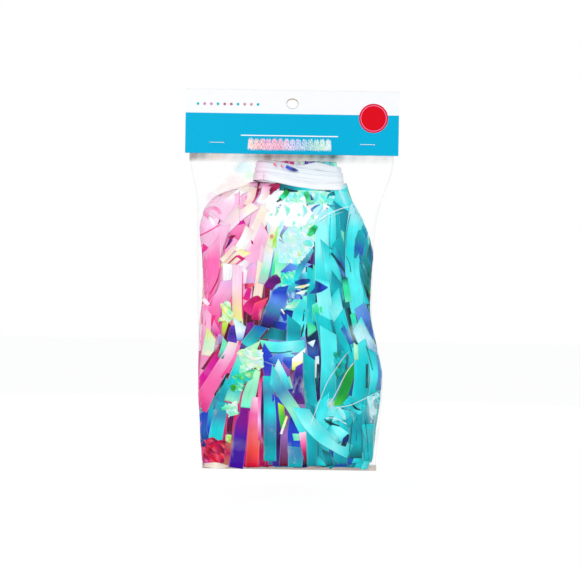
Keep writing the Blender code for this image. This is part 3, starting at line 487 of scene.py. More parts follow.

# Small strips and slivers on top of all that, told as the strips are. The thin dark slivers in ink and
# pine are painted shadow in the gaps and folds between strips.
ACCENTS = (
    ("magenta", (4, 2), "crimson maroon", (276.6, 188.6), (272, 189.6), (270.6, 191.6)),
    ("blue", (4, 1.4), "ink ink pine", (284, 189.4), (290, 190.6), (298, 191.4)),
    ("mint", 5.4, "emerald emerald spring mint", (288, 190.6), (283.6, 196), (280, 200)),
    ("mint", (3, 1.6), "ink ink", (281.4, 199), (276.6, 202)),
    ("mint", (5, 7), "spring emerald spring seafoam", (305, 192), (308, 197), (309.6, 203)),
    ("blue", (1, 3), "blue navy", (310.6, 195), (312, 200)),
    ("blue", (3, 6, 4), "periwinkle slate sky periwinkle", (311, 210.6), (316, 208), (321, 206.4)),
    ("teal", (4.6, 1), "pine deep_teal teal", (334, 193.4), (328.6, 195), (327, 199)),
    ("teal", 1.0, "slate deep_teal", (329, 205.6), (340, 207)),
    ("teal", 1.0, "deep_teal slate", (326.6, 205), (334, 201.4)),
    ("mint", 2.6, "spring mint", (297.4, 216.6), (299.4, 213.8)),
    ("aqua", (1, 5, 1), "ice mint ice", (284, 205), (288, 210), (287, 216)),
    ("aqua", (1, 4, 1), "mint pale_aqua ice", (303, 205), (305, 211), (303, 217)),
    ("mint", (1, 3, 1), "ice seafoam ice", (276, 206), (277.6, 211), (275, 216)),
    ("aqua", (2, 6, 1), "pale_aqua ice white", (322, 205), (316, 211), (311, 219)),
    ("mint", (1, 3, 1), "ice mint white", (292, 219), (294, 223), (291, 227)),
    ("aqua", (1, 4, 1), "white ice pale_aqua", (284, 218), (282, 223), (280, 228)),
    ("mint", 2.8, "spring mint", (300.4, 227.6), (300.8, 231.6)),
    ("mint", 2.0, "mint spring", (270, 215), (272, 214.6)),
    ("mint", (2.4, 4.4), "mint seafoam", (309, 217), (313.6, 216.6)),
    ("violet", 2.0, "slate periwinkle", (280.6, 204.6), (278.6, 208)),
    ("mint", (4, 7, 4), "spring emerald spring leaf", (316, 225.6), (312, 231), (308.6, 236)),
    ("mint", 1.0, "emerald leaf", (314.4, 228.6), (309.4, 232.6)),
    ("pearl", (2, 6, 2), "pistachio lemon lemon pistachio", (275, 232), (272, 236.6), (269, 241)),
    ("peach", (2, 4, 2), "peach tan peach", (273, 234), (271.6, 236.6), (270, 239)),
    ("violet", (4, 1.4), "lavender slate navy slate", (286, 227), (283.4, 231), (281, 236), (283, 242)),
    ("violet", 1.2, "slate violet", (279, 239.4), (285, 243.6)),
    ("aqua", (4, 7, 3), "mint aqua mint", (303, 244), (308, 243), (312, 246)),
    ("mint", (1.4, 3), "pistachio lime", (299.4, 250), (299.4, 256)),
    ("violet", 0.9, "lavender orchid", (287, 252), (288, 258)),
    ("teal", (3, 10, 7, 2), "teal deep_teal blue deep_teal", (358, 230), (358.6, 240), (356.6, 249),
     (354, 258)),
    ("blue", (2, 5, 2), "deep_teal blue navy", (368, 243), (370.4, 252), (371, 262)),
    ("blue", (14, 9, 1), "blue navy royal blue", (314.6, 287), (321, 287.6), (327.4, 287.4)),
    ("blue", (3, 7, 3), "blue navy blue", (295, 282.6), (303, 282), (310, 280)),
    ("pearl", (1, 3, 1), "white lemon white", (295, 287.4), (303, 286.4), (309.6, 284.4)),
    ("mint", (1, 1.6, 1), "ink ink", (296, 292), (303, 289.6), (309, 287)),
    ("mint", (1, 4, 1), "pistachio white mint", (296, 293.4), (302, 292.6), (307.6, 290)),
    ("mint", (1, 5, 2), "mint seafoam white", (300.6, 299.4), (294, 305.6), (286, 307)),
    ("pearl", (2, 1), "white lemon", (281.4, 309), (284.4, 314)),
    ("mint", (0.8, 3, 0.8), "ink ink maroon", (228, 373), (222, 385), (215.5, 394.6)),
    ("peach", (3, 6, 2), "sand cream sand", (203.4, 465), (216, 465.4), (229, 466.6)),
    ("mint", (3, 5, 2), "spring seafoam white", (222, 409), (228, 407), (236, 404)),
    ("pearl", (1, 3, 1), "white cream white", (246, 355), (254, 359), (263, 357)),
    ("violet", (1, 3, 1), "indigo night indigo", (262.6, 382), (262.4, 410), (262, 440)),
    # Folds at the lower right, with painted shade and painted highlights on their facets
    ("teal", (2, 13, 12), "pine deep_teal teal", (333, 406), (343, 414), (352, 424)),
    ("turquoise", (10, 12, 3), "turquoise teal aqua", (346, 399), (354, 406), (360, 414)),
    ("mint", (1, 2.4, 1), "pine ink pine", (351, 403), (355, 408), (360, 410)),
    ("aqua", (1, 13, 1), "aqua pale_aqua turquoise", (324.6, 415), (334, 411), (342, 406)),
    ("turquoise", (1, 12, 5), "pale_aqua aqua teal", (332, 421), (341, 415), (352, 414)),
    ("aqua", (1, 6, 1), "ice pale_aqua ice", (337, 407), (341, 412), (345, 420)),
    ("pearl", (0.8, 1, 0.8), "white ice white", (326, 418), (336, 418.6), (346, 424)),
    ("mint", (1, 3.4, 1), "pine ink pine", (324, 419), (330, 423.4), (339, 425.8)),
    ("aqua", (3, 9, 12), "aqua pale_aqua aqua", (331, 426), (338, 431), (345, 438)),
    ("teal", 0.9, "pine pine", (352, 420), (350.6, 436), (349, 452)),
    ("teal", 0.8, "pine deep_teal", (356, 418), (356, 436), (354, 453)),
    ("teal", 1.0, "deep_teal pine", (360, 418), (361, 436), (361, 453)),
    ("teal", 0.8, "pine deep_teal", (364, 420), (365.6, 436), (366, 452)),
    ("blue", (1, 6, 1), "ink navy ink", (348, 434), (345, 440), (342, 445)),
    ("teal", 0.9, "deep_teal pine", (341.6, 322), (347, 338), (351.6, 352)),
    ("teal", 0.9, "pine deep_teal", (365, 346), (368, 358), (371, 370)),
    ("mint", (0.8, 2.4, 0.8), "ink pine ink", (304, 324), (302.6, 330), (301, 337)),
    ("mint", 1.2, "ink deep_teal", (270, 352.6), (280, 352.8), (292, 351)),
    ("pearl", (7, 1), "ice white ice", (310, 345), (315, 340)),
    ("mint", (3, 6, 3), "leaf emerald leaf", (232, 385), (234, 388), (233, 391)),
    ("mint", 1.1, "ink ink", (304.4, 310), (303, 321)),
    ("teal", 0.8, "deep_teal pine", (345.6, 256), (349, 264), (350, 272)),
    ("teal", 0.7, "teal deep_teal", (330, 215), (329.6, 235), (329.4, 258)),
    ("teal", 0.7, "deep_teal teal", (349, 214), (346, 232), (345.6, 248)),
    ("mint", 0.8, "emerald pine", (362, 256), (366.6, 270), (369, 288)),
    ("mint", 0.8, "pine emerald", (359, 262), (363.6, 278), (366, 294)),
)

# Slivers caught between the ribbon's turns, told as the strips are
CAUGHT = (
    ("blue", 3.6, "royal royal navy blue", (286, 167), (291, 169.5), (298, 171.5)),
    ("coral", 2.6, "coral rose", (274, 164), (277, 168)),
    ("rose", 2.2, "candy rose", (281, 166), (284, 169.5)),
    ("mint", 3.0, "seafoam mint", (334, 163), (337, 168)),
)

# Creases of the film that stand proud, made milky white as painted highlights: width in pixels, whiteness,
# and pixels along them
CREASES = (
    (1.1, 0.9, (315, 224.5), (322, 218.5), (331.7, 213), (341, 209.2), (350, 206.8)),
    (0.7, 0.5, (316, 228), (325, 220.5), (334, 215.5), (344, 212)),
    (0.8, 0.8, (348.5, 351), (343.7, 356), (334, 370), (327, 381), (321, 395), (311, 422),
     (312.6, 425)),
    (0.9, 0.9, (354.7, 360), (347, 370), (341, 381), (334, 395), (327.8, 404)),
    (0.8, 0.9, (380, 390), (370, 395), (360, 399.5), (350.7, 403.7), (339.5, 406), (332, 407.8)),
    (1.0, 0.6, (368, 347), (374, 351), (380.6, 366), (382, 376), (378.6, 388)),
    (0.9, 0.6, (358, 320), (363, 334), (372, 349)),
    (0.8, 0.5, (263, 360), (274, 364), (286, 367)),
    (0.9, 0.5, (378, 395), (373.7, 423), (373, 461)),
    (0.9, 0.4, (197.6, 218), (196.6, 250), (197.6, 290), (198.6, 330)),
)


# Places and small helpers


def clear_defaults():
    for item in list(bpy.data.objects):
        bpy.data.objects.remove(item, do_unlink=True)


def linear(name):
    """A named colour as linear red, green and blue."""
    share = np.array(COLOURS[name]) / 255
    return np.where(share > 0.04045, ((share + 0.055) / 1.055) ** 2.4, share / 12.92)


def rgba(name):
    return (*[float(value) for value in linear(name)], 1.0)


def gradient(names, shares):
    """Colours along a strip, evenly spaced between the named ones."""
    stops = np.array([linear(name) for name in names.split()])
    places = np.linspace(0, 1, len(stops))
    return np.stack([np.interp(shares, places, stops[:, i]) for i in range(3)], -1)


def photo_point(px, py):
    """The place in the plane y = 0 that shows at a pixel."""
    across = (np.asarray(px, float) - HOLE_PIXEL[0]) * PIXEL
    up = (HOLE_PIXEL[1] - np.asarray(py, float)) * PIXEL
    x = across * np.cos(ROLL) - up * np.sin(ROLL)
    z = up * np.cos(ROLL) + across * np.sin(ROLL)
    return x, z


AXIS_X, AXIS_Z = photo_point(IMAGE_SIDE / 2, IMAGE_SIDE / 2)


def run_lengths(line):
    """How far along a line each of its points lies."""
    return np.concatenate([[0], np.cumsum(np.linalg.norm(np.diff(line, axis=0), axis=1))])


def smooth_line(points, step):
    """A curve through the points, as places one step apart."""
    points = np.array(points, float)
    knots = points
    if len(points) > 2:
        ends = np.vstack([2 * points[0] - points[1], points, 2 * points[-1] - points[-2]])
        knots = []
        for i in range(1, len(ends) - 2):
            a, b, c, d = ends[i - 1 : i + 3]
            for share in np.linspace(0, 1, KNOT_STEPS, endpoint=False):
                bend = (2 * a - 5 * b + 4 * c - d) * share**2 + (3 * b - a - 3 * c + d) * share**3
                knots.append(0.5 * (2 * b + (c - a) * share + bend))
        knots = np.vstack([knots, points[-1:]])
    lengths = run_lengths(knots)
    count = max(int(round(lengths[-1] / step)) + 1, 3)
    at = np.linspace(0, lengths[-1], count)
    return np.stack([np.interp(at, lengths, knots[:, i]) for i in range(knots.shape[1])], -1)


def photo_line(points, step):
    """A curve through pixels, as places one step apart in the plane y = 0."""
    px = np.array(points, float)
    return smooth_line(np.stack(photo_point(px[:, 0], px[:, 1]), 1), step)


def directions(line):
    """The unit direction of travel at each point of a line."""
    run = np.gradient(line, axis=0)
    return run / np.maximum(np.linalg.norm(run, axis=1, keepdims=True), 1e-12)


def band(line, half, across):
    """Places beside a flat line, at shares of its half width, and its directions of travel."""
    run = directions(line)
    side = np.stack([-run[:, 1], run[:, 0]], 1)
    grid = line[:, None, :] + side[:, None, :] * (across[None, :, None] * half[:, None, None])
    return grid, run


def softened(values, reach):
    """A running average that keeps the ends."""
    kernel = np.ones(2 * reach + 1) / (2 * reach + 1)
    padded = np.pad(values, reach, mode="edge")
    return np.convolve(padded, kernel, mode="valid")


def over_near(values, combine):
    """Each cell and its eight neighbours, combined."""
    padded = np.pad(values, 1, mode="edge")
    rows, columns = values.shape
    return combine([padded[i : i + rows, j : j + columns] for i in range(3) for j in range(3)], axis=0)


def grown(distance, over):
    """How far something has grown from 0 to 1 over a length."""
    return np.clip(distance / over, 0, 1)


def levels_between(top, low, step):
    """Heights from the top down, about a step apart."""
    return np.linspace(top, low, int((top - low) / step) + 1)


# The shells of the bunch and the bag


class Skin:
    """A closed section that changes with height, sampled evenly by share of the way round.

    Share 0 is the middle of the front, a quarter is the right edge, and a half the middle
    of the back."""

    def __init__(self, heights, rings):
        self.heights = heights
        shares = (np.arange(AROUND_CELLS) + 0.5) / AROUND_CELLS - 0.5
        self.shares = shares
        self.x = np.zeros((len(heights), AROUND_CELLS))
        self.y = np.zeros_like(self.x)
        self.round = np.zeros(len(heights))
        for row, (x, y) in enumerate(rings):
            run = np.concatenate([[0], np.cumsum(np.hypot(np.diff(x), np.diff(y)))])
            self.round[row] = run[-1]
            at = (shares + 0.5) * run[-1]
            self.x[row] = np.interp(at, run, x)
            self.y[row] = np.interp(at, run, y)
        along = np.roll(self.x, -1, 1) - np.roll(self.x, 1, 1)
        depth = np.roll(self.y, -1, 1) - np.roll(self.y, 1, 1)
        length = np.maximum(np.hypot(along, depth), 1e-12)
        self.out_x = depth / length
        self.out_y = -along / length

    def rows_at(self, z):
        """The row of the table at a height, with its fraction."""
        row = (self.heights[0] - z) / (self.heights[0] - self.heights[-1]) * (len(self.heights) - 1)
        return np.clip(row, 0, len(self.heights) - 1.001)

    def sample(self, table, t, z):
        """A table's values at shares of the way round and heights."""
        row = self.rows_at(z)
        low = row.astype(int)
        part = row - low
        column = (t + 0.5) * AROUND_CELLS - 0.5
        near = np.floor(column).astype(int)
        side = column - near
        a = near % AROUND_CELLS
        b = (near + 1) % AROUND_CELLS
        upper = table[low, a] * (1 - side) + table[low, b] * side
        lower = table[low + 1, a] * (1 - side) + table[low + 1, b] * side
        return upper * (1 - part) + lower * part

    def place(self, t, z, lift):
        """Places at shares of the way round, heights, and lifts off the skin."""
        x = self.sample(self.x, t, z) + self.sample(self.out_x, t, z) * lift
        y = self.sample(self.y, t, z) + self.sample(self.out_y, t, z) * lift
        return np.stack([x, y, np.broadcast_to(z, x.shape)], -1)

    def perimeter(self, z):
        return np.interp(-z, -self.heights, self.round)

    def front_share(self, x, z):
        """The share of the way round at which the front has this x."""
        shape = np.shape(x)
        x = np.ravel(x)
        rows = np.round(self.rows_at(np.ravel(z))).astype(int)
        front = slice(AROUND_CELLS // 4, 3 * AROUND_CELLS // 4)
        shares = np.empty(len(x))
        for row in np.unique(rows):
            mine = rows == row
            line = self.x[row, front]
            beyond = np.maximum(x[mine] - line[-1], 0) - np.maximum(line[0] - x[mine], 0)
            shares[mine] = np.interp(x[mine], line, self.shares[front]) + beyond / self.round[row]
        return shares.reshape(shape)


def bunch_ring(left, right, half):
    """A closed flattened oval, from the middle of the back round by the left to the front."""
    turn = np.linspace(-pi, pi, RING_POINTS)
    power = 2 / BUNCH_POWER
    x = (left + right) / 2 + (right - left) / 2 * np.sign(np.sin(turn)) * np.abs(np.sin(turn)) ** power
    y = -half * np.sign(np.cos(turn)) * np.abs(np.cos(turn)) ** power
    return x, y


def film_ring(left, right, half, middle, bulge):
    """The film's section, the same way round: it bulges about a middle and lies flat beyond."""
    turn = np.linspace(-pi, pi, RING_POINTS)
    x = (left + right) / 2 + (right - left) / 2 * np.sin(turn)
    from_middle = np.minimum(np.abs(x - middle) / bulge, 1.0)
    depth = np.maximum(half * (1 - from_middle**SECTION_POWER) ** (1 / SECTION_POWER), FLAT_HALF)
    rim = np.sqrt(np.maximum(1 - np.sin(turn) ** 2, 0) / RIM_SHARE)
    return x, -np.sign(np.cos(turn)) * depth * np.minimum(rim, 1)


def make_bunch_skin(share=1.0):
    """The bunch's inner shell, or the same shape drawn in towards its middle plane."""
    rows = np.array(BUNCH_ROWS)
    _, heights = photo_point((rows[:, 1] + rows[:, 2]) / 2, rows[:, 0])
    left, _ = photo_point(rows[:, 1], rows[:, 0])
    right, _ = photo_point(rows[:, 2], rows[:, 0])
    levels = levels_between(heights[0], heights[-1], DOWN_STEP)
    measures = [np.interp(-levels, -heights, values) for values in (left, right, rows[:, 3] * MM)]
    measures = [softened(values, BUNCH_EASE_ROWS) for values in measures]
    inset = (1 - share) * INNER_INSET * MM
    rings = [bunch_ring(a + inset, b - inset, c * share) for a, b, c in zip(*measures)]
    return Skin(levels, rings)


def make_film_skin():
    rows = np.array(FILM_ROWS)
    rows[:, :4] *= MM
    levels = levels_between(rows[0, 0], rows[-1, 0], DOWN_STEP)
    measures = [np.interp(-levels, -rows[:, 0], rows[:, i]) for i in range(1, 5)]
    body = (levels < FILM_EASED[0]) & (levels >= FILM_EASED[1])
    for values in measures:
        values[body] = softened(values, FILM_EASE_ROWS)[body]
    rings = []
    for left, right, half, share in zip(*measures):
        middle = NECK_X + ((left + right) / 2 - NECK_X) * share
        bulge = NECK_BULGE + ((right - left) / 2 - NECK_BULGE) * share
        rings.append(film_ring(left, right, half, middle, bulge))
    return Skin(levels, rings)


def room_left(height):
    """The share of its lift that a strip keeps at a height of the pile."""
    return np.maximum(1 - height / PILE_MOST, PILE_LEAST_SHARE)


class Pile:
    """How high the strips lie on the bunch so far."""

    def __init__(self, skin):
        self.skin = skin
        self.height = np.zeros((len(skin.heights), AROUND_CELLS))

    def cells(self, t, z):
        rows = np.clip(np.round(self.skin.rows_at(z)).astype(int), 0, len(self.height) - 1)
        columns = np.floor((t + 0.5) * AROUND_CELLS).astype(int) % AROUND_CELLS
        return rows, columns

    def dense(self, grid):
        """A strip's grid, told finely enough to reach every cell that it covers."""
        rows, columns = grid.shape
        down = np.linspace(0, rows - 1, 3 * rows)
        across = np.linspace(0, columns - 1, CROSS_CELLS)
        narrow = np.stack([np.interp(across, np.arange(columns), line) for line in grid])
        return np.stack([np.interp(down, np.arange(rows), line) for line in narrow.T], 1)

    def lay(self, t, z, crown):
        """Lifts for a strip's grid, so that it lies on all that is under it."""
        rows, columns = self.cells(self.dense(t), self.dense(z))
        under = self.height[rows, columns].reshape(len(t), 3, CROSS_CELLS).max(1)
        third = CROSS_CELLS // 3
        left = under[:, :third].max(1)
        middle = under[:, third : 2 * third].max(1)
        right = under[:, 2 * third :].max(1)
        most = np.maximum(np.maximum(left, right), middle)
        for share in (1, 2):
            lack = share * np.maximum(middle - (left + right) / 2, 0)
            left = np.minimum(left + lack, most)
            right = np.minimum(right + lack, most)
        across = np.linspace(0, 1, t.shape[1])
        lift = self.eased(left)[:, None] * (1 - across) + self.eased(right)[:, None] * across
        lift = lift + (crown * (1 - (2 * across - 1) ** 2) + FILM_STEP) * room_left(lift)
        np.maximum.at(self.height, (rows, columns), self.dense(lift))
        return lift

    def eased(self, values):
        """The largest of the near values along a strip, softened."""
        padded = np.pad(values, PILE_EASE_ROWS, mode="edge")
        near = [padded[i : i + len(values)] for i in range(2 * PILE_EASE_ROWS + 1)]
        return softened(np.max(near, axis=0), PILE_EASE_ROWS)

    def under_pixels(self, px, py):
        """Where on the pile the pixels show: shares of the way round, and their x and height."""
        x, z = photo_point(px, py)
        return self.under_places(x, z)

    def under_places(self, x, z):
        """The same for places in the plane y = 0, drawn in as the lens needs."""
        share = self.skin.front_share(x, z)
        depth = self.skin.sample(self.skin.y, share, z) - PILE_MOST / 2
        scale = 1 + depth / DISTANCE
        x = AXIS_X + (x - AXIS_X) * scale
        z = AXIS_Z + (z - AXIS_Z) * scale
        return self.skin.front_share(x, z), x, z


class Build:
    """Points and faces of one piece, with a colour and a place on the film at each corner."""

    def __init__(self):
        self.points = []
        self.faces = []
        self.tints = []
        self.places = []
        self.count = 0

    def add(self, points, faces, tints, places):
        self.points.append(points)
        self.faces.append(faces + self.count)
        self.tints.append(tints.reshape(-1, 3))
        self.places.append(places.reshape(-1, 2))
        self.count += len(points)

    def add_grid(self, points, tints, places):
        rows, columns = points.shape[:2]
        numbers = np.arange(rows * columns).reshape(rows, columns)
        corners = (numbers[:-1, :-1], numbers[1:, :-1], numbers[1:, 1:], numbers[:-1, 1:])
        faces = np.stack(corners, -1).reshape(-1, 4)
        tints = np.broadcast_to(tints, points.shape).reshape(-1, 3)
        self.add(points.reshape(-1, 3), faces, tints[faces], places.reshape(-1, 2)[faces])

    def make(self, name, finish, uv="film"):
        mesh = bpy.data.meshes.new(name)
        faces = [tuple(face) for group in self.faces for face in group.tolist()]
        mesh.from_pydata(np.concatenate(self.points).tolist(), [], faces)
        tints = np.concatenate(self.tints)
        layer = mesh.color_attributes.new("tint", "FLOAT_COLOR", "CORNER")
        layer.data.foreach_set("color", np.hstack([tints, np.ones((len(tints), 1))]).ravel())
        places = mesh.uv_layers.new(name=uv)
        places.data.foreach_set("uv", np.concatenate(self.places).ravel())
        mesh.polygons.foreach_set("use_smooth", [len(face) == 4 for face in faces])
        mesh.materials.append(finish)
        piece = bpy.data.objects.new(name, mesh)
        bpy.context.scene.collection.objects.link(piece)
        return piece


def thicken(piece, thickness):
    modifier = piece.modifiers.new("thickness", "SOLIDIFY")
    modifier.thickness = thickness
    modifier.offset = -1.0


# Node materials


class Nodes:
    """A small helper that makes shader nodes and joins them."""

    def __init__(self, name):
        self.material = bpy.data.materials.new(name)
        self.material.use_nodes = True
        self.tree = self.material.node_tree
        self.shader = self.tree.nodes["Principled BSDF"]

    def add(self, kind, **settings):
        node = self.tree.nodes.new(kind)
        for key, value in settings.items():
            setattr(node, key, value)
        return node

    def join(self, source, target):
        if isinstance(source, (int, float, tuple)):
            target.default_value = source
        else:
            self.tree.links.new(source, target)

    def set(self, **values):
        """Sets or joins the shader's own inputs."""
        for key, value in values.items():
            self.join(value, self.shader.inputs[key.replace("_", " ")])

    def tint(self):
        return self.add("ShaderNodeVertexColor", layer_name="tint").outputs["Color"]

    def uv(self, name):
        return self.add("ShaderNodeUVMap", uv_map=name).outputs[0]

    def place(self):
        return self.add("ShaderNodeTexCoord").outputs["Object"]

    def split(self, vector):
        node = self.add("ShaderNodeSeparateXYZ")
        self.join(vector, node.inputs[0])
        return node.outputs

    def maths(self, operation, *values, clamp=False):
        node = self.add("ShaderNodeMath", operation=operation, use_clamp=clamp)
        for value, socket in zip(values, node.inputs):
            self.join(value, socket)
        return node.outputs[0]

    def distance(self, across, up):
        """How far a place lies from the middle."""
        squares = [self.maths("MULTIPLY", value, value) for value in (across, up)]
        return self.maths("SQRT", self.maths("ADD", *squares))

    def between(self, value, low, high):
        """1 where a value lies between two others."""
        above = self.maths("GREATER_THAN", value, low)
        below = self.maths("LESS_THAN", value, high)
        return self.maths("MULTIPLY", above, below)

    def mix(self, share, first, second, blend="MIX"):
        node = self.add("ShaderNodeMix", data_type="RGBA", blend_type=blend)
        for value, number in ((share, 0), (first, 6), (second, 7)):
            self.join(value, node.inputs[number])
        return node.outputs[2]

    def noise(self, vector, scale=1.0, detail=2.0, roughness=0.5):
        node = self.add("ShaderNodeTexNoise")
        inputs = {"Vector": vector, "Scale": scale, "Detail": detail, "Roughness": roughness}
        for key, value in inputs.items():
            self.join(value, node.inputs[key])
        return node.outputs["Fac"]

    def stretched(self, vector, factors):
        node = self.add("ShaderNodeMapping")
        self.join(vector, node.inputs["Vector"])
        self.join(factors, node.inputs["Scale"])
        return node.outputs[0]

    def ranged(self, value, low, high, to_low=0.0, to_high=1.0):
        node = self.add("ShaderNodeMapRange")
        for socket, number in zip(list(node.inputs)[:5], (value, low, high, to_low, to_high)):
            self.join(number, socket)
        return node.outputs[0]

    def ramp(self, value, names):
        node = self.add("ShaderNodeValToRGB")
        stops = node.color_ramp.elements
        while len(stops) < len(names):
            stops.new(0.5)
        for i, name in enumerate(names):
            stops[i].position = i / (len(names) - 1)
            stops[i].color = rgba(name)
        self.join(value, node.inputs[0])
        return node.outputs[0]

    def bump(self, height, strength, distance):
        node = self.add("ShaderNodeBump")
        for key, value in {"Strength": strength, "Distance": distance, "Height": height}.items():
            self.join(value, node.inputs[key])
        self.set(Normal=node.outputs[0])


# How finely each material's noise is drawn out, in waves a metre
FILM_STREAKS = (520.0, 22.0, 1.0)
FILM_CLOUDS = (60.0, 36.0, 1.0)
RIBBON_STREAKS = (900.0, 10.0, 1.0)
BAG_WRINKLES = (90.0, 60.0, 34.0)
STEEL_MARKS = (500.0, 2500.0, 2500.0)
PAPER_GRAIN = 900.0
STRANDS = (1900.0, 260.0)
FLECKS = (2600.0, 420.0)

# How deep the bumps are
FILM_BUMP = 0.2 * MM
BAG_BUMP = 1.2 * MM
PAPER_BUMP = 0.1 * MM
# How much lighter painted sheen makes the film strips
GLINT = (1.45, 1.45, 1.45, 1.0)


def film_finish(name):
    """Glossy tinted film with fine streaks along each strip: painted shade in the streaks' hollows,
    painted sheen on their ridges and in broad patches.
    """
    nodes = Nodes(name)
    tint = nodes.tint()
    place = nodes.uv("film")
    streaks = nodes.noise(nodes.stretched(place, FILM_STREAKS), detail=3.0, roughness=0.6)
    clouds = nodes.noise(nodes.stretched(place, FILM_CLOUDS))
    deeper = nodes.mix(nodes.ranged(clouds, 0.5, 0.25, 0.0, 0.4), tint, tint, "MULTIPLY")
    # Broad patches lightened by the glint factor are painted sheen.
    cloud_sheen = nodes.mix(nodes.ranged(clouds, 0.5, 0.72, 0.0, 0.5), deeper, GLINT, "MULTIPLY")
    # The streaks' hollows are darkened towards ink as painted shade, and their ridges lightened as painted
    # sheen.
    streak_shade = nodes.mix(nodes.ranged(streaks, 0.42, 0.25, 0.0, 0.18), cloud_sheen, rgba("ink"))
    shown = nodes.mix(nodes.ranged(streaks, 0.6, 0.8, 0.0, 0.5), streak_shade, GLINT, "MULTIPLY")
    nodes.set(Base_Color=shown, Roughness=nodes.ranged(streaks, 0.3, 0.7, 0.2, 0.42))
    nodes.set(Specular_IOR_Level=0.05, Coat_Weight=0.03, Coat_Roughness=0.1)
    nodes.bump(streaks, 0.15, FILM_BUMP)
    return nodes.material


def ribbon_finish():
    nodes = Nodes("white_ribbon")
    streaks = nodes.noise(nodes.stretched(nodes.uv("film"), RIBBON_STREAKS), detail=3.0, roughness=0.65)
    # Lavender in the hollows of the streaks is painted shade.
    shown = nodes.mix(nodes.ranged(streaks, 0.45, 0.28, 0.0, 0.4), nodes.tint(), rgba("lavender"))
    nodes.set(Base_Color=shown, Roughness=nodes.ranged(streaks, 0.3, 0.7, 0.25, 0.45))
    nodes.set(Sheen_Weight=0.2, Sheen_Roughness=0.4)
    nodes.bump(streaks, 0.3, FILM_BUMP)
    return nodes.material


def clear_finish():
    """Clear bag film: nearly all see-through, milky on its creases, edges and hem, with painted glints on
    its wrinkles and painted glare, highlights and shadow from the haze map.
    """
    nodes = Nodes("clear_film")
    wrinkles = nodes.noise(nodes.stretched(nodes.place(), BAG_WRINKLES), detail=5.0, roughness=0.62)
    # Painted glints where the wrinkles stand highest.
    glints = nodes.ranged(wrinkles, 0.62, 0.74, 0.0, 0.3)
    alpha = nodes.maths("ADD", nodes.split(nodes.uv("haze"))[0], glints, clamp=True)
    nodes.set(Base_Color=nodes.tint(), Alpha=alpha, Roughness=0.12, IOR=1.49)
    nodes.bump(wrinkles, 0.35, BAG_BUMP)
    return nodes.material


def steel_finish():
    nodes = Nodes("staple_steel")
    marks = nodes.noise(nodes.stretched(nodes.place(), STEEL_MARKS), detail=3.0)
    shown = nodes.mix(marks, rgba("frost"), rgba("white"))
    nodes.set(Base_Color=shown, Roughness=nodes.ranged(marks, 0.3, 0.7, 0.22, 0.4), Metallic=1.0)
    return nodes.material


# Card print: a white top, a blue band with pinstripes, a badge, a rule, a row of dots and a
# row of tassels. The badge is told by its middle and its rings' radii, the hole's cut edge
# and the painted shade ring round it by its reach, and the rest by left, right, low and high.
PRINT_DEPTH = 0.6 * CARD_HALF
BAND_TOP = -9.1 * MM
BAND_BLUES = ((0.0, 0.4, 0.67, 1.0), (0.0, 0.53, 0.8, 1.0))
PAPER_WHITES = ((0.95, 0.95, 0.95, 1.0), (0.99, 0.99, 0.99, 1.0))
STRIPE_PITCH = 1.75 * MM
STRIPE_SHARE = 0.42
BADGE = (73.1 * MM, -11.9 * MM)
BADGE_RINGS = ((13.1 * MM, "scarlet"), (11.7 * MM, "rose"), (11.2 * MM, "scarlet"))
RULE = (-45.9 * MM, 41.4 * MM, -29.3 * MM, -28.4 * MM)
FRINGE = (-39.6 * MM, 35.4 * MM, -43.0 * MM, -30.4 * MM)
FRINGE_COUNT = 14
FRINGE_TINTS = "peach salmon candy hot lavender periwinkle teal seafoam frost"
HOLE_REACH = (5.5 * MM, 4.8 * MM)
HOLE_SHADE = (-1.5 * MM, 2.5 * MM)
DOTS = (-88.0 * MM, -28.0 * MM)
DOTS_HEIGHT = -1.0 * MM
DOT_PITCH = 6.0 * MM
DOT_RADIUS = 1.3 * MM
DOT_TINTS = "teal candy teal ruby teal salmon teal"


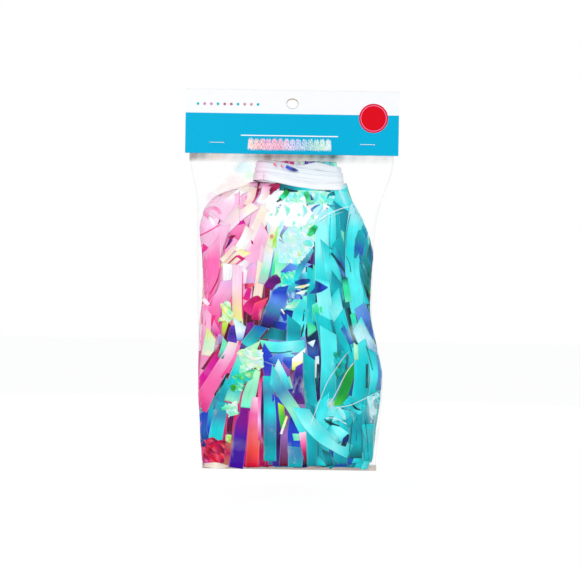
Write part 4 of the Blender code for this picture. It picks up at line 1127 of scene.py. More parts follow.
def card_finish():
    nodes = Nodes("printed_card")
    place = nodes.place()
    x, y, z = nodes.split(place)
    front = nodes.maths("LESS_THAN", y, -PRINT_DEPTH)
    paper = nodes.noise(place, PAPER_GRAIN, 4.0, 0.6)
    white = nodes.mix(nodes.ranged(paper, 0.3, 0.7), *PAPER_WHITES)
    slant = nodes.maths("MULTIPLY", nodes.maths("SUBTRACT", z, x), 1 / STRIPE_PITCH / 1.414)
    stripe = nodes.maths("LESS_THAN", nodes.maths("FRACT", slant), STRIPE_SHARE)
    shown = nodes.mix(nodes.maths("LESS_THAN", z, BAND_TOP), white, nodes.mix(stripe, *BAND_BLUES))
    rule = nodes.maths("MULTIPLY", nodes.between(x, *RULE[:2]), nodes.between(z, *RULE[2:]))
    shown = nodes.mix(rule, shown, rgba("white"))
    shown = nodes.mix(fringe_mask(nodes, x, z), shown, fringe_tint(nodes, x, z))
    from_badge = [nodes.maths("SUBTRACT", value, middle) for value, middle in zip((x, z), BADGE)]
    away = nodes.distance(*from_badge)
    for radius, name in BADGE_RINGS:
        shown = nodes.mix(nodes.maths("LESS_THAN", away, radius), shown, rgba(name))
    shown = dots(nodes, x, z, shown)
    # The hole's cut edge and a ring round it on the front are board coloured, with painted shade darkening
    # them towards the top.
    from_hole = [nodes.maths("MULTIPLY", value, 1 / reach) for value, reach in zip((x, z), HOLE_REACH)]
    rim = nodes.maths("LESS_THAN", nodes.distance(*from_hole), 1.0)
    board_and_shade = nodes.mix(nodes.ranged(z, *HOLE_SHADE), rgba("ash_light"), rgba("board_and_shade"))
    shown = nodes.mix(rim, shown, board_and_shade)
    shown = nodes.mix(front, nodes.mix(rim, white, board_and_shade), shown)
    nodes.set(Base_Color=shown, Roughness=nodes.ranged(paper, 0.3, 0.7, 0.36, 0.46))
    nodes.set(Specular_IOR_Level=0.06, Coat_Weight=0.02, Coat_Roughness=0.2)
    nodes.bump(paper, 0.08, PAPER_BUMP)
    return nodes.material


def card_grain(nodes, x, z, scales, detail, roughness):
    """Noise that is drawn out up and down the card."""
    place = nodes.add("ShaderNodeCombineXYZ")
    for value, scale, socket in zip((x, z), scales, place.inputs):
        nodes.join(nodes.maths("MULTIPLY", value, scale), socket)
    return nodes.noise(place.outputs[0], 1.0, detail, roughness)


def fringe_mask(nodes, x, z):
    """A row of little fringed tassels: narrow heads and strands that spread and end raggedly."""
    left, right, low, high = FRINGE
    across = nodes.maths("MULTIPLY", nodes.maths("SUBTRACT", x, left), FRINGE_COUNT / (right - left))
    middle = nodes.maths("ABSOLUTE", nodes.maths("SUBTRACT", nodes.maths("FRACT", across), 0.5))
    drop = nodes.maths("DIVIDE", nodes.maths("SUBTRACT", high, z), high - low)
    spread = nodes.maths("ADD", nodes.maths("MULTIPLY", drop, 0.4), 0.26)
    ragged = card_grain(nodes, x, z, STRANDS, 3.0, 0.7)
    reach = nodes.maths("ADD", nodes.ranged(ragged, 0.3, 0.7, -0.12, 0.2), spread)
    shape = nodes.maths("LESS_THAN", middle, reach)
    top = nodes.maths("GREATER_THAN", drop, nodes.ranged(ragged, 0.35, 0.65, 0.0, 0.22))
    end = nodes.maths("LESS_THAN", drop, nodes.ranged(ragged, 0.35, 0.65, 0.78, 1.0))
    for mask in (top, end, nodes.between(x, left, right), nodes.maths("LESS_THAN", drop, 1.0)):
        shape = nodes.maths("MULTIPLY", shape, mask)
    return shape


def fringe_tint(nodes, x, z):
    left, right = FRINGE[:2]
    share = nodes.maths("DIVIDE", nodes.maths("SUBTRACT", x, left), right - left)
    tint = nodes.ramp(share, FRINGE_TINTS.split())
    flecks = card_grain(nodes, x, z, FLECKS, 2.0, 0.6)
    pale = nodes.mix(nodes.ranged(flecks, 0.42, 0.56, 0.0, 0.85), tint, rgba("white"))
    return nodes.mix(nodes.ranged(flecks, 0.4, 0.3, 0.0, 0.5), pale, rgba("blue"))


def dots(nodes, x, z, shown):
    """An even row of plain round dots on the white top."""
    across = nodes.maths("DIVIDE", nodes.maths("SUBTRACT", x, DOTS[0]), DOT_PITCH)
    off = nodes.maths("SUBTRACT", nodes.maths("FRACT", across), 0.5)
    away = nodes.distance(nodes.maths("MULTIPLY", off, DOT_PITCH), nodes.maths("SUBTRACT", z, DOTS_HEIGHT))
    mask = nodes.maths("MULTIPLY", nodes.maths("LESS_THAN", away, DOT_RADIUS), nodes.between(x, *DOTS))
    last = (DOTS[1] - DOTS[0]) / DOT_PITCH - 1
    number = nodes.maths("DIVIDE", nodes.maths("FLOOR", across), last)
    return nodes.mix(mask, shown, nodes.ramp(number, DOT_TINTS.split()))


# Tassels

# Where the columns of a strip lie, as shares of its half width
STRIP_COLUMNS = np.array([-1.0, -0.86, -0.45, 0.0, 0.45, 0.86, 1.0])
LANE_COLUMNS = np.array([-1.0, -0.86, 0.0, 0.86, 1.0])
LOOP_COLUMNS = np.array([-1.0, -0.4, 0.4, 1.0])
WELT_COLUMNS = np.array([-1.0, 0.0, 1.0])
ROW_STEP = 2.0 * MM
STEP_SHARE = 0.4
STRIP_CROWN = 0.16 * MM
CROWN_HALF = 5.0 * MM
LANE_CROWN = 0.15 * MM
STRIP_THICK = 0.12 * MM

# Strips have slanting top ends, as shares of their half width. Wide ones that start below a
# pixel row have long ones, and those that change in width have nearly square ones.
SLANT_SHARE = 1.1
SLANT_WIDTH = 9
SLANT_FROM = 232
SLANT_SHARES = (0.3, 1.3)
SLANT_SQUARE = 0.12
SLANT_ROWS = 4.0
SLANT_STEEP = 0.7

# Each strip has painted shade towards one side, and painted highlights on its cut edges
LEAN = 0.12
EDGE_FROM = 0.95
EDGE_LIGHT = 0.16
FILM_SPREAD = 40


def front_strip(pile, width, names, points, rng):
    """A strip laid out by pixels, dropped on the front of the pile."""
    widths = np.atleast_1d(width)
    line = photo_line(points, min(ROW_STEP, STEP_SHARE * max(widths) * PIXEL))
    shares = np.linspace(0, 1, len(line))
    half = np.interp(shares, np.linspace(0, 1, len(widths)), widths) * PIXEL / 2
    grid, run = band(line, half, STRIP_COLUMNS)
    slant = rng.uniform(-SLANT_SHARE, SLANT_SHARE) * half[0]
    if len(widths) > 1:
        slant = slant * SLANT_SQUARE
    elif widths[0] >= SLANT_WIDTH and points[0][1] > SLANT_FROM:
        slant = rng.choice([-1, 1]) * rng.uniform(*SLANT_SHARES) * half[0]
    spread = max(SLANT_ROWS, abs(slant) / (SLANT_STEEP * ROW_STEP))
    slant = slant * np.maximum(1 - np.arange(len(line)) / spread, 0)
    grid = grid + run[:, None, :] * (slant[:, None, None] * STRIP_COLUMNS[None, :, None])
    share, _, z = pile.under_places(grid[..., 0], grid[..., 1])
    crown = STRIP_CROWN * min(float(half.mean()) / CROWN_HALF, 1.0)
    place = pile.skin.place(share, z, pile.lay(share, z, crown))
    return place, *strip_looks(names, STRIP_COLUMNS, half, rng)


def strip_looks(names, across, half, rng):
    """A strip's colours, with painted shade towards one side and painted highlights on its cut edges, and
    its places on the film.
    """
    rows = len(half)
    shade = 1 + rng.uniform(-LEAN, LEAN) * across
    edge = np.where(np.abs(across) > EDGE_FROM, EDGE_LIGHT, 0.0)
    tints = gradient(names, np.linspace(0, 1, rows))[:, None, :] * shade[None, :, None]
    tints = np.clip(tints + (1 - tints) * edge[None, :, None], 0, 1)
    start = rng.uniform(0, FILM_SPREAD)
    down = start + np.arange(rows) * ROW_STEP
    wide = across[None, :] * half[:, None] + start
    return tints, np.stack(np.broadcast_arrays(wide, down[:, None]), -1)


def lane_strip(skin, pile, width, names, knots, rng, step=3.0 * MM):
    """A strip that follows shares of the way round and heights, on the pile or within it."""
    knots = np.array(knots, float)
    middle = skin.perimeter(knots[:, 1]).mean()
    line = smooth_line(np.stack([knots[:, 0] * middle, knots[:, 1]], 1), step)
    half = np.full(len(line), width / 2)
    grid, _ = band(line, half, LANE_COLUMNS)
    z = grid[..., 1]
    share = line[:, :1] / middle + (grid[..., 0] - line[:, :1]) / skin.perimeter(z)
    lift = pile.lay(share, z, LANE_CROWN) if pile else np.zeros(share.shape)
    return skin.place(share, z, lift), *strip_looks(names, LANE_COLUMNS, half, rng)


def lies_inside(x, y, outline):
    """Whether each place lies inside an outline."""
    hit = np.zeros(len(x), bool)
    for (x1, y1), (x2, y2) in zip(outline, outline[1:] + outline[:1]):
        if y1 != y2:
            spans = (y1 > y) != (y2 > y)
            hit ^= spans & (x < (x2 - x1) * (y - y1) / (y2 - y1) + x1)
    return hit


def drawn_to_rim(x, y, outline):
    """The nearest places on an outline."""
    corners = np.array(outline, float)
    span = np.roll(corners, -1, 0) - corners
    places = np.stack([x, y], -1)[:, None, :]
    share = ((places - corners) * span).sum(-1) / (span**2).sum(-1)
    near = corners + span * np.clip(share, 0, 1)[..., None]
    best = np.argmin(((places - near) ** 2).sum(-1), 1)
    return near[np.arange(len(x)), best].T


FACET = 3.1
FACET_JITTER = 0.42
RIM_BUMP = 0.2
OWN_TINT_SHARE = 0.75


def foil_patch(pile, names, bumps, outline, rng):
    """Crumpled foil: flat facets of mixed colours inside an outline of pixels."""
    px = np.array(outline, float)
    start = px.min(0) - FACET
    columns, rows = ((px.max(0) - px.min(0)) / FACET).astype(int) + 3
    grid = np.meshgrid(start[0] + FACET * np.arange(columns), start[1] + FACET * np.arange(rows))
    shape = grid[0].shape
    gx, gy = [(g + rng.uniform(-FACET_JITTER, FACET_JITTER, shape) * FACET).ravel() for g in grid]
    bump = (rng.uniform(0, bumps, shape) * PIXEL).ravel()
    numbers = np.arange(rows * columns).reshape(shape)
    a, b = numbers[:-1, :-1].ravel(), numbers[:-1, 1:].ravel()
    c, d = numbers[1:, :-1].ravel(), numbers[1:, 1:].ravel()
    faces = np.concatenate([np.stack([a, c, d], 1), np.stack([a, d, b], 1)])
    faces = faces[lies_inside(gx[faces].mean(1), gy[faces].mean(1), outline)]
    outside = ~lies_inside(gx, gy, outline)
    gx[outside], gy[outside] = drawn_to_rim(gx[outside], gy[outside], outline)
    bump[outside] *= RIM_BUMP
    share, x, z = pile.under_pixels(gx.reshape(shape), gy.reshape(shape))
    row, column = pile.cells(share, z)
    under = over_near(pile.height[row, column], np.max)
    lift = under + (0.5 * FILM_STEP + bump.reshape(shape)) * room_left(under)
    place = pile.skin.place(share, z, lift).reshape(-1, 3)
    palette = np.array([linear(name) for name in names.split()])
    own = palette[rng.integers(0, len(palette), rows * columns)]
    picked = palette[rng.integers(0, len(palette), len(faces))]
    tints = OWN_TINT_SHARE * own[faces] + (1 - OWN_TINT_SHARE) * picked[:, None, :]
    flat = np.stack([x.ravel(), z.ravel()], 1)[faces] + rng.uniform(0, FILM_SPREAD, (len(faces), 1, 1))
    used = np.unique(faces)
    fresh = np.full(len(place), -1)
    fresh[used] = np.arange(len(used))
    np.maximum.at(pile.height, (row.ravel()[used], column.ravel()[used]), lift.ravel()[used])
    return place[used], fresh[faces], tints, flat


# Colours of the strips behind, from the top down, by tassel
BEHIND = {
    "pale_pink": ("blush pink rose pink", "cream blush pink rose", "pink rose candy"),
    "hot_pink": ("pink candy hot candy", "rose candy hot", "blush rose candy hot"),
    "magenta": ("crimson magenta hot", "magenta crimson maroon", "rose magenta crimson"),
    "pearl": ("white cream lemon pistachio", "ice pistachio cream", "frost lavender ice"),
    "violet": ("violet indigo grape", "royal violet purple", "lavender violet indigo"),
    "turquoise": ("aqua turquoise teal", "turquoise teal deep_teal", "ice turquoise teal"),
    "aqua": ("ice aqua turquoise", "pale_aqua aqua teal", "aqua teal turquoise"),
    "rose": ("pink rose candy", "blush rose hot", "rose candy magenta"),
    "coral": ("coral salmon flame", "peach coral ruby", "blush salmon coral"),
    "peach": ("cream peach blush", "peach salmon cream", "cream lemon peach"),
    "purple": ("purple plum grape", "mauve purple indigo", "plum grape violet"),
    "blue": ("sky blue navy", "royal blue indigo", "periwinkle blue royal"),
    "teal": ("teal deep_teal pine", "turquoise teal blue", "deep_teal teal aqua"),
    "mint": ("mint spring seafoam", "pistachio mint turquoise", "seafoam mint teal"),
}

# Colours of the full layer under the strips that show, darker as painted shade in the gaps between them
UNDER_SHADE = {
    "pale_pink": "blush pink rose candy hot",
    "hot_pink": "pink candy candy hot crimson",
    "magenta": "crimson maroon crimson",
    "pearl": "frost ice periwinkle mauve slate",
    "violet": "plum indigo night",
    "turquoise": "deep_teal pine blue",
    "aqua": "teal pine deep_teal",
    "rose": "pink rose candy hot crimson",
    "coral": "blush coral crimson ruby maroon",
    "peach": "blush rose candy crimson tan",
    "purple": "plum night grape",
    "blue": "navy blue night",
    "teal": "pine ink deep_teal",
    "mint": "pine emerald ink",
}

# Tassels from the sides to the middle, which is the order in which they are laid
LAY_ORDER = (0, 13, 6, 7, 1, 12, 5, 8, 2, 11, 4, 9, 3, 10)

# Strips within the bunch: how full its shell is there, and their width
INNER_SHARES = (0.35, 0.7)
INNER_WIDTH = 12.0 * MM
INNER_STEP = 7.0 * MM

# The full layer under the strips that show
UNDER_STRIPS = 5
UNDER_WIDTH = 13.0 * MM
UNDER_STEP = 4.0 * MM

# The strips on top of it: how near the front they come as a share of the way round, and
# their widths and raised ends in millimetres
BACK_LAYERS = 3
FRONT_SHARE = 0.21
BACK_WIDTHS = (10.5, 13.0)
BACK_ENDS = (-1, 12)

# Short ones on top again: where they start as a share of the way down, and their lengths in
# millimetres
SHORT_STRIPS = 5
SHORT_STARTS = (0.15, 0.75)
SHORT_LENGTHS = (45, 110)
SHORT_DRIFT = 0.05
SHORT_WIDTH = 11.5 * MM

WANDER_SHARES = (0.0, 0.08, 0.3, 0.55, 0.8, 1.0)
TOP_SWAY = 0.3


def lane_of(number):
    """The middle share of the way round for a tassel: front row in front, back row behind."""
    row, place = divmod(number, PER_ROW)
    across = (place - 3) / PER_ROW * 0.5
    return across if row == 0 else 0.5 - across


def wandering(rng, start, top, low, spread):
    """Knots from the neck down, drifting sideways."""
    sway = rng.uniform(-spread, spread, len(WANDER_SHARES))
    sway[:2] *= TOP_SWAY
    return [(start + s, top + (low - top) * d) for s, d in zip(sway, WANDER_SHARES)]


def lay_inside(builds, rng):
    """Darker strips within the bunch, which show from below and between the outer ones."""
    for share in INNER_SHARES:
        skin = make_bunch_skin(share)
        top, low = skin.heights[0], skin.heights[-1]
        for number in LAY_ORDER:
            name = TASSELS[number]
            for i, names in enumerate(BEHIND[name]):
                start = lane_of(number) + (i - 1) / 42
                knots = wandering(rng, start, top, low + rng.uniform(0, 6) * MM, 0.01)
                strip = lane_strip(skin, None, INNER_WIDTH, names, knots, rng, INNER_STEP)
                builds[name].add_grid(*strip)


def lay_under(builds, pile, rng):
    """A full layer all the way round, under the strips that show, in darker colours as painted shade in
    the gaps.
    """
    top, low = pile.skin.heights[0], pile.skin.heights[-1]
    for number in LAY_ORDER:
        name = TASSELS[number]
        for i in range(UNDER_STRIPS):
            start = lane_of(number) + (i - 2) / 70
            knots = wandering(rng, start, top, low + rng.uniform(0, 4) * MM, 0.006)
            strip = lane_strip(pile.skin, pile, UNDER_WIDTH, UNDER_SHADE[name], knots, rng, UNDER_STEP)
            builds[name].add_grid(*strip)


def lay_behind(builds, pile, rng):
    """Bright strips down the back and the sides, three deep."""
    top, low = pile.skin.heights[0], pile.skin.heights[-1]
    for number in LAY_ORDER * BACK_LAYERS:
        name = TASSELS[number]
        for _ in range(2 if number < PER_ROW else 3):
            start = lane_of(number) + rng.uniform(-0.04, 0.04)
            if abs(start) < FRONT_SHARE:
                continue
            knots = wandering(rng, start, top, low + rng.uniform(*BACK_ENDS) * MM, 0.035)
            names = BEHIND[name][rng.integers(0, 3)]
            width = rng.uniform(*BACK_WIDTHS) * MM
            builds[name].add_grid(*lane_strip(pile.skin, pile, width, names, knots, rng))


def lay_short(builds, pile, rng):
    """Shorter strips on the back, in the colours of the tassels beside them too."""
    top, low = pile.skin.heights[0], pile.skin.heights[-1]
    for number in range(PER_ROW, 2 * PER_ROW):
        for _ in range(SHORT_STRIPS):
            lane = lane_of(number) + rng.uniform(-SHORT_DRIFT, SHORT_DRIFT)
            begin = top + (low - top) * rng.uniform(*SHORT_STARTS)
            end = max(begin - rng.uniform(*SHORT_LENGTHS) * MM, low)
            knots = [(lane, begin)]
            for height in ((begin + end) / 2, end):
                lane += rng.uniform(-SHORT_DRIFT, SHORT_DRIFT)
                knots.append((lane, height))
            near = int(np.clip(number + rng.integers(-2, 3), PER_ROW, 2 * PER_ROW - 1))
            names = BEHIND[TASSELS[near]][rng.integers(0, 3)]
            strip = lane_strip(pile.skin, pile, SHORT_WIDTH, names, knots, rng)
            builds[TASSELS[number]].add_grid(*strip)


def lay_front(builds, pile, strips, rng):
    """The strips of a table, each on top of those before it."""
    for name, width, names, *points in strips:
        builds[name].add_grid(*front_strip(pile, width, names, points, rng))


def make_tassels(skin):
    """All the tassels, each one piece, and the pile that their strips make."""
    pile = Pile(skin)
    builds = {name: Build() for name in TASSELS}
    rng = np.random.default_rng(7)
    lay_inside(builds, rng)
    lay_under(builds, pile, rng)
    lay_behind(builds, pile, rng)
    lay_short(builds, pile, rng)
    lay_front(builds, pile, STRIPS, rng)
    for name, names, bumps, *outline in FOILS:
        builds[name].add(*foil_patch(pile, names, bumps, outline, rng))
    lay_front(builds, pile, ACCENTS, rng)
    add_caught(builds, rng)
    for number, name in enumerate(TASSELS):
        add_head(builds[name], number, rng)
        piece = builds[name].make(f"strips_{name}", film_finish(f"film_{name}"))
        thicken(piece, STRIP_THICK)
        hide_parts(f"tassel_{number + 1:02d}_{name}")
        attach(piece, "garland")
    return pile


CAUGHT_STEP = 1.0 * MM
CAUGHT_PROUD = 0.15 * MM
CAUGHT_CURL = 0.25 * MM
NECK_REACH = 10.9 * MM


def add_caught(builds, rng):
    """Slivers of film between the ribbon's turns, tapering to their ends."""
    for name, width, names, *points in CAUGHT:
        line = photo_line(points, CAUGHT_STEP)
        half = np.full(len(line), width * PIXEL / 2)
        half *= np.minimum(1, np.arange(len(line))[::-1] / 4 + 0.15)
        grid, _ = band(line, half, WELT_COLUMNS)
        depth = np.full(grid.shape[:2], -NECK_REACH - CAUGHT_PROUD)
        depth += CAUGHT_CURL * np.abs(WELT_COLUMNS)
        points = np.stack([grid[..., 0], depth, grid[..., 1]], -1)
        builds[name].add_grid(points, *strip_looks(names, WELT_COLUMNS, half, rng))


# Loops of folded film at a head. Ranges for random draws are in millimetres.
LOOPS = 5
LOOP_PITCH = 1.75 * MM
LOOP_SINKS = (0, 1.2)
LOOP_REACHES = (1.5, 2.1)
LOOP_HALVES = (0.8, 1.0)
LOOP_WAVES = (-0.3, 0.3)
LOOP_POINTS = 13
LEG_ENDS = (-30.0 * MM, -8.0 * MM)


def add_head(build, number, rng):
    """Loops of folded film over the ribbon, side by side across the tassel's head."""
    row, place = divmod(number, PER_ROW)
    middle = NECK_X + (place - 3) * HEAD_PITCH
    depth = (row - 0.5) * ROW_PITCH
    for i in range(LOOPS):
        top = HEAD_TOP - rng.uniform(*LOOP_SINKS) * MM
        reach = rng.uniform(*LOOP_REACHES) * MM
        turn = np.linspace(0, pi, LOOP_POINTS)
        y = np.concatenate([[-reach, -reach], -reach * np.cos(turn), [reach, reach]])
        z = np.concatenate([LEG_ENDS, reach * (np.sin(turn) - 1), LEG_ENDS[::-1]])
        half = rng.uniform(*LOOP_HALVES) * MM
        wave = rng.uniform(*LOOP_WAVES) * MM
        grid = np.zeros((len(y), len(LOOP_COLUMNS), 3))
        grid[..., 0] = middle + (i - 2) * LOOP_PITCH + LOOP_COLUMNS[None, :] * half
        grid[..., 1] = (y + depth)[:, None] + wave * LOOP_COLUMNS[None, :] ** 2
        grid[..., 2] = (z + top)[:, None]
        names = BEHIND[TASSELS[number]][i % 3]
        tints, places = strip_looks(names, LOOP_COLUMNS, np.full(len(y), half), rng)
        build.add_grid(grid[::-1], tints[::-1], places)


# Ribbon

# The wound turns, from the innermost out: pixel rows of the front run at five places from
# left to right, and how much of the ribbon's width lies open
TURN_ROWS = (
    (166.0, 168.0, 171.0, 170.0, 172.0, 1.0),
    (175.0, 178.0, 181.0, 183.0, 183.5, 1.0),
    (163.6, 166.5, 170.0, 166.2, 171.0, 1.0),
    (178.0, 181.0, 184.0, 186.5, 187.0, 1.0),
    (165.5, 168.6, 172.0, 174.5, 177.0, 0.95),
    (171.0, 174.0, 177.5, 180.0, 181.5, 1.0),
    (176.5, 180.5, 184.5, 187.0, 187.5, 0.9),
)
TURN_COLUMNS = np.linspace(254, 345, 5)
PER_TURN = 96
TURN_EASINGS = 3
THREAD_TAIL = 1.0 * MM
RUN_POINTS = 14
BEND_POINTS = 9
TAIL_POINTS = 10
RIBBON_COLUMNS = np.linspace(-1, 1, 13)
RIBBON_THICK = 0.15 * MM
RIBBON_WAVE = 0.2 * MM
RIBBON_BLUSH = -18.0 * MM
BLUSH_OVER = 12.0 * MM


def make_ribbon(finish):
    rng = np.random.default_rng(21)
    build = Build()
    rows = np.array(TURN_ROWS)
    _, heights = photo_point(np.broadcast_to(TURN_COLUMNS, (TURNS, 5)), rows[:, :5])
    turns = np.arange(PER_TURN * TURNS + 1) / PER_TURN
    line = np.array([wound_place(turn, heights) for turn in turns])
    widths = np.interp(turns, np.arange(TURNS) + 0.25, rows[:, 5]) * RIBBON_WIDTH / 2
    for _ in range(TURN_EASINGS):
        line[1:-1] = (line[:-2] + 2 * line[1:-1] + line[2:]) / 4
    build.add_grid(*ribbon_grid(line, widths, rng))
    inner = threaded_line(line[0, 2])
    build.add_grid(*ribbon_grid(inner, np.full(len(inner), RIBBON_WIDTH / 2), rng))
    ribbon = build.make("wound_ribbon", finish)
    thicken(ribbon, RIBBON_THICK)
    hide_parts("ribbon")
    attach(ribbon, "garland")


def wound_place(turn, heights):
    """A place on the winding after so many turns."""
    x, y, share = stadium(turn % 1, WIND_START + TURN_PITCH * turn)
    number = min(int(turn), TURNS - 1)
    if share <= 1:
        z = np.interp(share, np.linspace(0, 1, 5), heights[number])
    else:
        following = min(number + 1, TURNS - 1)
        z = heights[number, 4] + (heights[following, 0] - heights[number, 4]) * (share - 1)
    return x + NECK_X, y, z


def stadium(turned, radius):
    """A place on the loop round the neck, and how far through its front run or its back."""
    front = 2 * HEADS_HALF
    arc = pi * radius
    part = turned * 2 * (front + arc)
    if part < front:
        return -HEADS_HALF + part, -radius, part / front
    part -= front
    if part < arc:
        turn = part / radius - pi / 2
        return HEADS_HALF + radius * np.cos(turn), radius * np.sin(turn), 1 + 0.15 * part / arc
    part -= arc
    if part < front:
        return HEADS_HALF - part, radius, 1.15 + 0.7 * part / front
    part -= front
    turn = part / radius + pi / 2
    return -HEADS_HALF + radius * np.cos(turn), radius * np.sin(turn), 1.85 + 0.15 * part / arc


def threaded_line(wound_height):
    """The run through the heads: one row, then the other, and out to where the winding starts."""
    row = ROW_PITCH / 2
    line = [(x, -row) for x in np.linspace(-HEADS_HALF - THREAD_TAIL, HEADS_HALF, RUN_POINTS)]
    for turn in np.linspace(-pi / 2, pi / 2, BEND_POINTS)[1:-1]:
        line.append((HEADS_HALF + row * np.cos(turn), row * np.sin(turn)))
    line += [(x, row) for x in np.linspace(HEADS_HALF, -HEADS_HALF, RUN_POINTS)]
    line = [(x + NECK_X, y, THREAD_HEIGHT) for x, y in line]
    for share in np.linspace(0, 1, TAIL_POINTS)[1:]:
        turn = pi * (0.5 + share)
        radius = row + (WIND_START - row) * share
        z = THREAD_HEIGHT + (wound_height - THREAD_HEIGHT) * share
        line.append((-HEADS_HALF + radius * np.cos(turn) + NECK_X, radius * np.sin(turn), z))
    return np.array(line)


def ribbon_grid(line, half, rng):
    """A flat band on edge along a line, gathered into soft lengthways folds."""
    across = RIBBON_COLUMNS[None, :]
    run = directions(line)
    out = np.stack([run[:, 1], -run[:, 0]], 1)
    length = run_lengths(line)[:, None]
    phase = rng.uniform(0, 6.28)
    fold = np.sin(across * 5.2 + phase + length * 16.8)
    fold += 0.6 * np.sin(across * 9.1 - length * 31.0 + 2 * phase)
    grid = np.repeat(line[:, None, :], across.size, 1)
    grid[..., 2] += across * half[:, None]
    grid[..., :2] += out[:, None, :] * fold[..., None] * RIBBON_WAVE
    tint = gradient("white frost white", np.linspace(0, 1, len(line)))[:, None, :]
    blush = np.clip((RIBBON_BLUSH - grid[..., 0]) / BLUSH_OVER, 0, 0.8)[..., None]
    places = np.stack(np.broadcast_arrays(across * half[:, None], length), -1)
    return grid, tint * (1 - blush) + linear("blush") * blush, places


# Bag film

FILM_ACROSS = 0.82 * MM
FILM_ACROSS_BACK = 2.4 * MM
FILM_DOWN = 0.95 * MM
FILM_CLEAR = 0.12 * MM
WIDE_HEIGHT = -200.0 * MM
NECK_LOW = -84.0 * MM
NECK_HIGH = HEAD_TOP + 2.0 * MM
MOUTH_HALF = 0.3 * MM

# Below the fold and above the hem the film is pulled in over these lengths
PULL_FROM = FOLD_AXIS - 14.0 * MM
PULL_OVER = 20.0 * MM
HEM_PULL_OVER = 10.0 * MM
SLACK_MOST = 5.0 * MM
WRINKLE_MOST = 1.2 * MM

# Next to the hem and the fold it keeps to the shell
HEM_FLAT_OVER = 3.0 * MM
FOLD_FLAT = 2.0 * MM

# Where the film is milky
HEM_MILK = 0.62
HEM_SPARE = 1.0 * MM
EDGE_MILK_REACH = 1.6 * MM
EDGE_TINT_REACH = 1.4 * MM
GATHER_LOW = -53.5 * MM
GATHER_OVER = 5.0 * MM

# Seeded unevenness: count of waves, the longest and the shortest
SLACK_WAVES = (7, 70.0 * MM, 24.0 * MM)
WRINKLE_WAVES = (9, 22.0 * MM, 7.0 * MM)
EDGE_WAVES = (5, 40.0 * MM, 9.0 * MM)
GLOW_WAVES = (6, 60.0 * MM, 18.0 * MM)
GLARE_WAVES = (8, 30.0 * MM, 12.0 * MM)

# Patches of painted glare on the front film: middle and reach in pixels, milkiness and colour
GLARES = (
    (288, 212, 28, 16, 0.12, "white"),
    (226, 186, 34, 13, 0.16, "white"),
    (208, 200, 14, 16, 0.16, "white"),
    (292, 246, 20, 18, 0.3, "white"),
    (346, 198, 14, 7, 0.12, "white"),
    (228, 272, 9, 14, 0.15, "white"),
    (258, 228, 8, 16, 0.15, "white"),
    (213, 343, 8, 9, 0.35, "white"),
    (330, 402, 5, 6, 0.5, "white"),
    (357, 332, 12, 10, 0.3, "white"),
    (372, 410, 8, 14, 0.3, "white"),
    (250, 358, 12, 10, 0.22, "white"),
    (243, 168, 12, 8, 0.5, "ice"),
    (250, 176, 7, 6, 0.4, "pistachio"),
    (236, 182, 11, 8, 0.6, "shell"),
    (246, 187, 8, 6, 0.6, "cream"),
    (225, 190, 12, 8, 0.55, "shell"),
    (214, 198, 9, 8, 0.45, "blush"),
)

# Painted shadow of the card and painted reflections of the contents on the gathered film under it: pixel,
# colour and how strongly it lies, from left to right
GATHER_SHADOWS = (
    (188, "ash", 0.8),
    (204, "ash", 0.8),
    (214, "sand", 0.5),
    (240, "grey", 0.3),
    (256, "ash", 0.6),
    (266, "shaded_red", 0.8),
    (290, "shaded_red", 0.8),
    (308, "olive", 0.8),
    (320, "pine", 0.8),
    (336, "pine", 0.7),
    (346, "grey", 0.3),
    (395, "grey", 0.25),
)
GATHER_ROW = 157.0


def waves(x, z, rng, count, longest, shortest):
    """Smooth seeded unevenness between 0 and 1."""
    total = np.zeros_like(x)
    for _ in range(count):
        size = rng.uniform(shortest, longest)
        turn = rng.uniform(0, pi)
        phase = rng.uniform(0, 2 * pi)
        total += np.sin((x * np.cos(turn) + z * np.sin(turn)) / size * 2 * pi + phase)
    return 0.5 + 0.5 * np.tanh(total / np.sqrt(count))


def make_bag(film, bunch, pile, finish):
    """The whole bag as one skin, which bends at the fold."""
    rng = np.random.default_rng(5)
    half_round = film.perimeter(WIDE_HEIGHT) / 2
    front = np.linspace(-0.25, 0.25, int(half_round / FILM_ACROSS))
    back = np.linspace(0.25, 0.75, int(half_round / FILM_ACROSS_BACK))[1:]
    levels = levels_between(film.heights[0], BAG_BOTTOM, FILM_DOWN)
    t, z = np.meshgrid(np.concatenate([front, back]), levels)
    x = film.sample(film.x, t, z)
    side = np.where(t < 0.25001, -1.0, 1.0)
    y = side * film_depth(film, bunch, pile, t, x, z, side, rng)
    milk, tint = film_looks(x, z, side, rng)
    points = np.stack([x, y, z], -1)
    mouth = np.repeat(points[:1], 3, 0)
    mouth[..., 2] = np.array([MOUTH_TOP, (MOUTH_TOP + CARD_BOTTOM) / 2, CARD_BOTTOM + 0.4 * MM])[:, None]
    mouth[..., 1] = side[:1] * np.minimum(np.abs(mouth[..., 1]), MOUTH_HALF)
    tint = np.vstack([np.repeat(tint[:1], 3, 0), tint])
    milk = np.vstack([np.repeat(milk[:1], 3, 0), milk])
    build = Build()
    build.add_grid(np.vstack([mouth, points]), tint, np.stack([milk, milk * 0], -1))
    add_creases(build, x[:, : len(front)], y[:, : len(front)], levels)
    bag = build.make("bag_film_wrap", finish, uv="haze")
    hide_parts("bag_film", "bag_mouth")
    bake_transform(bag)


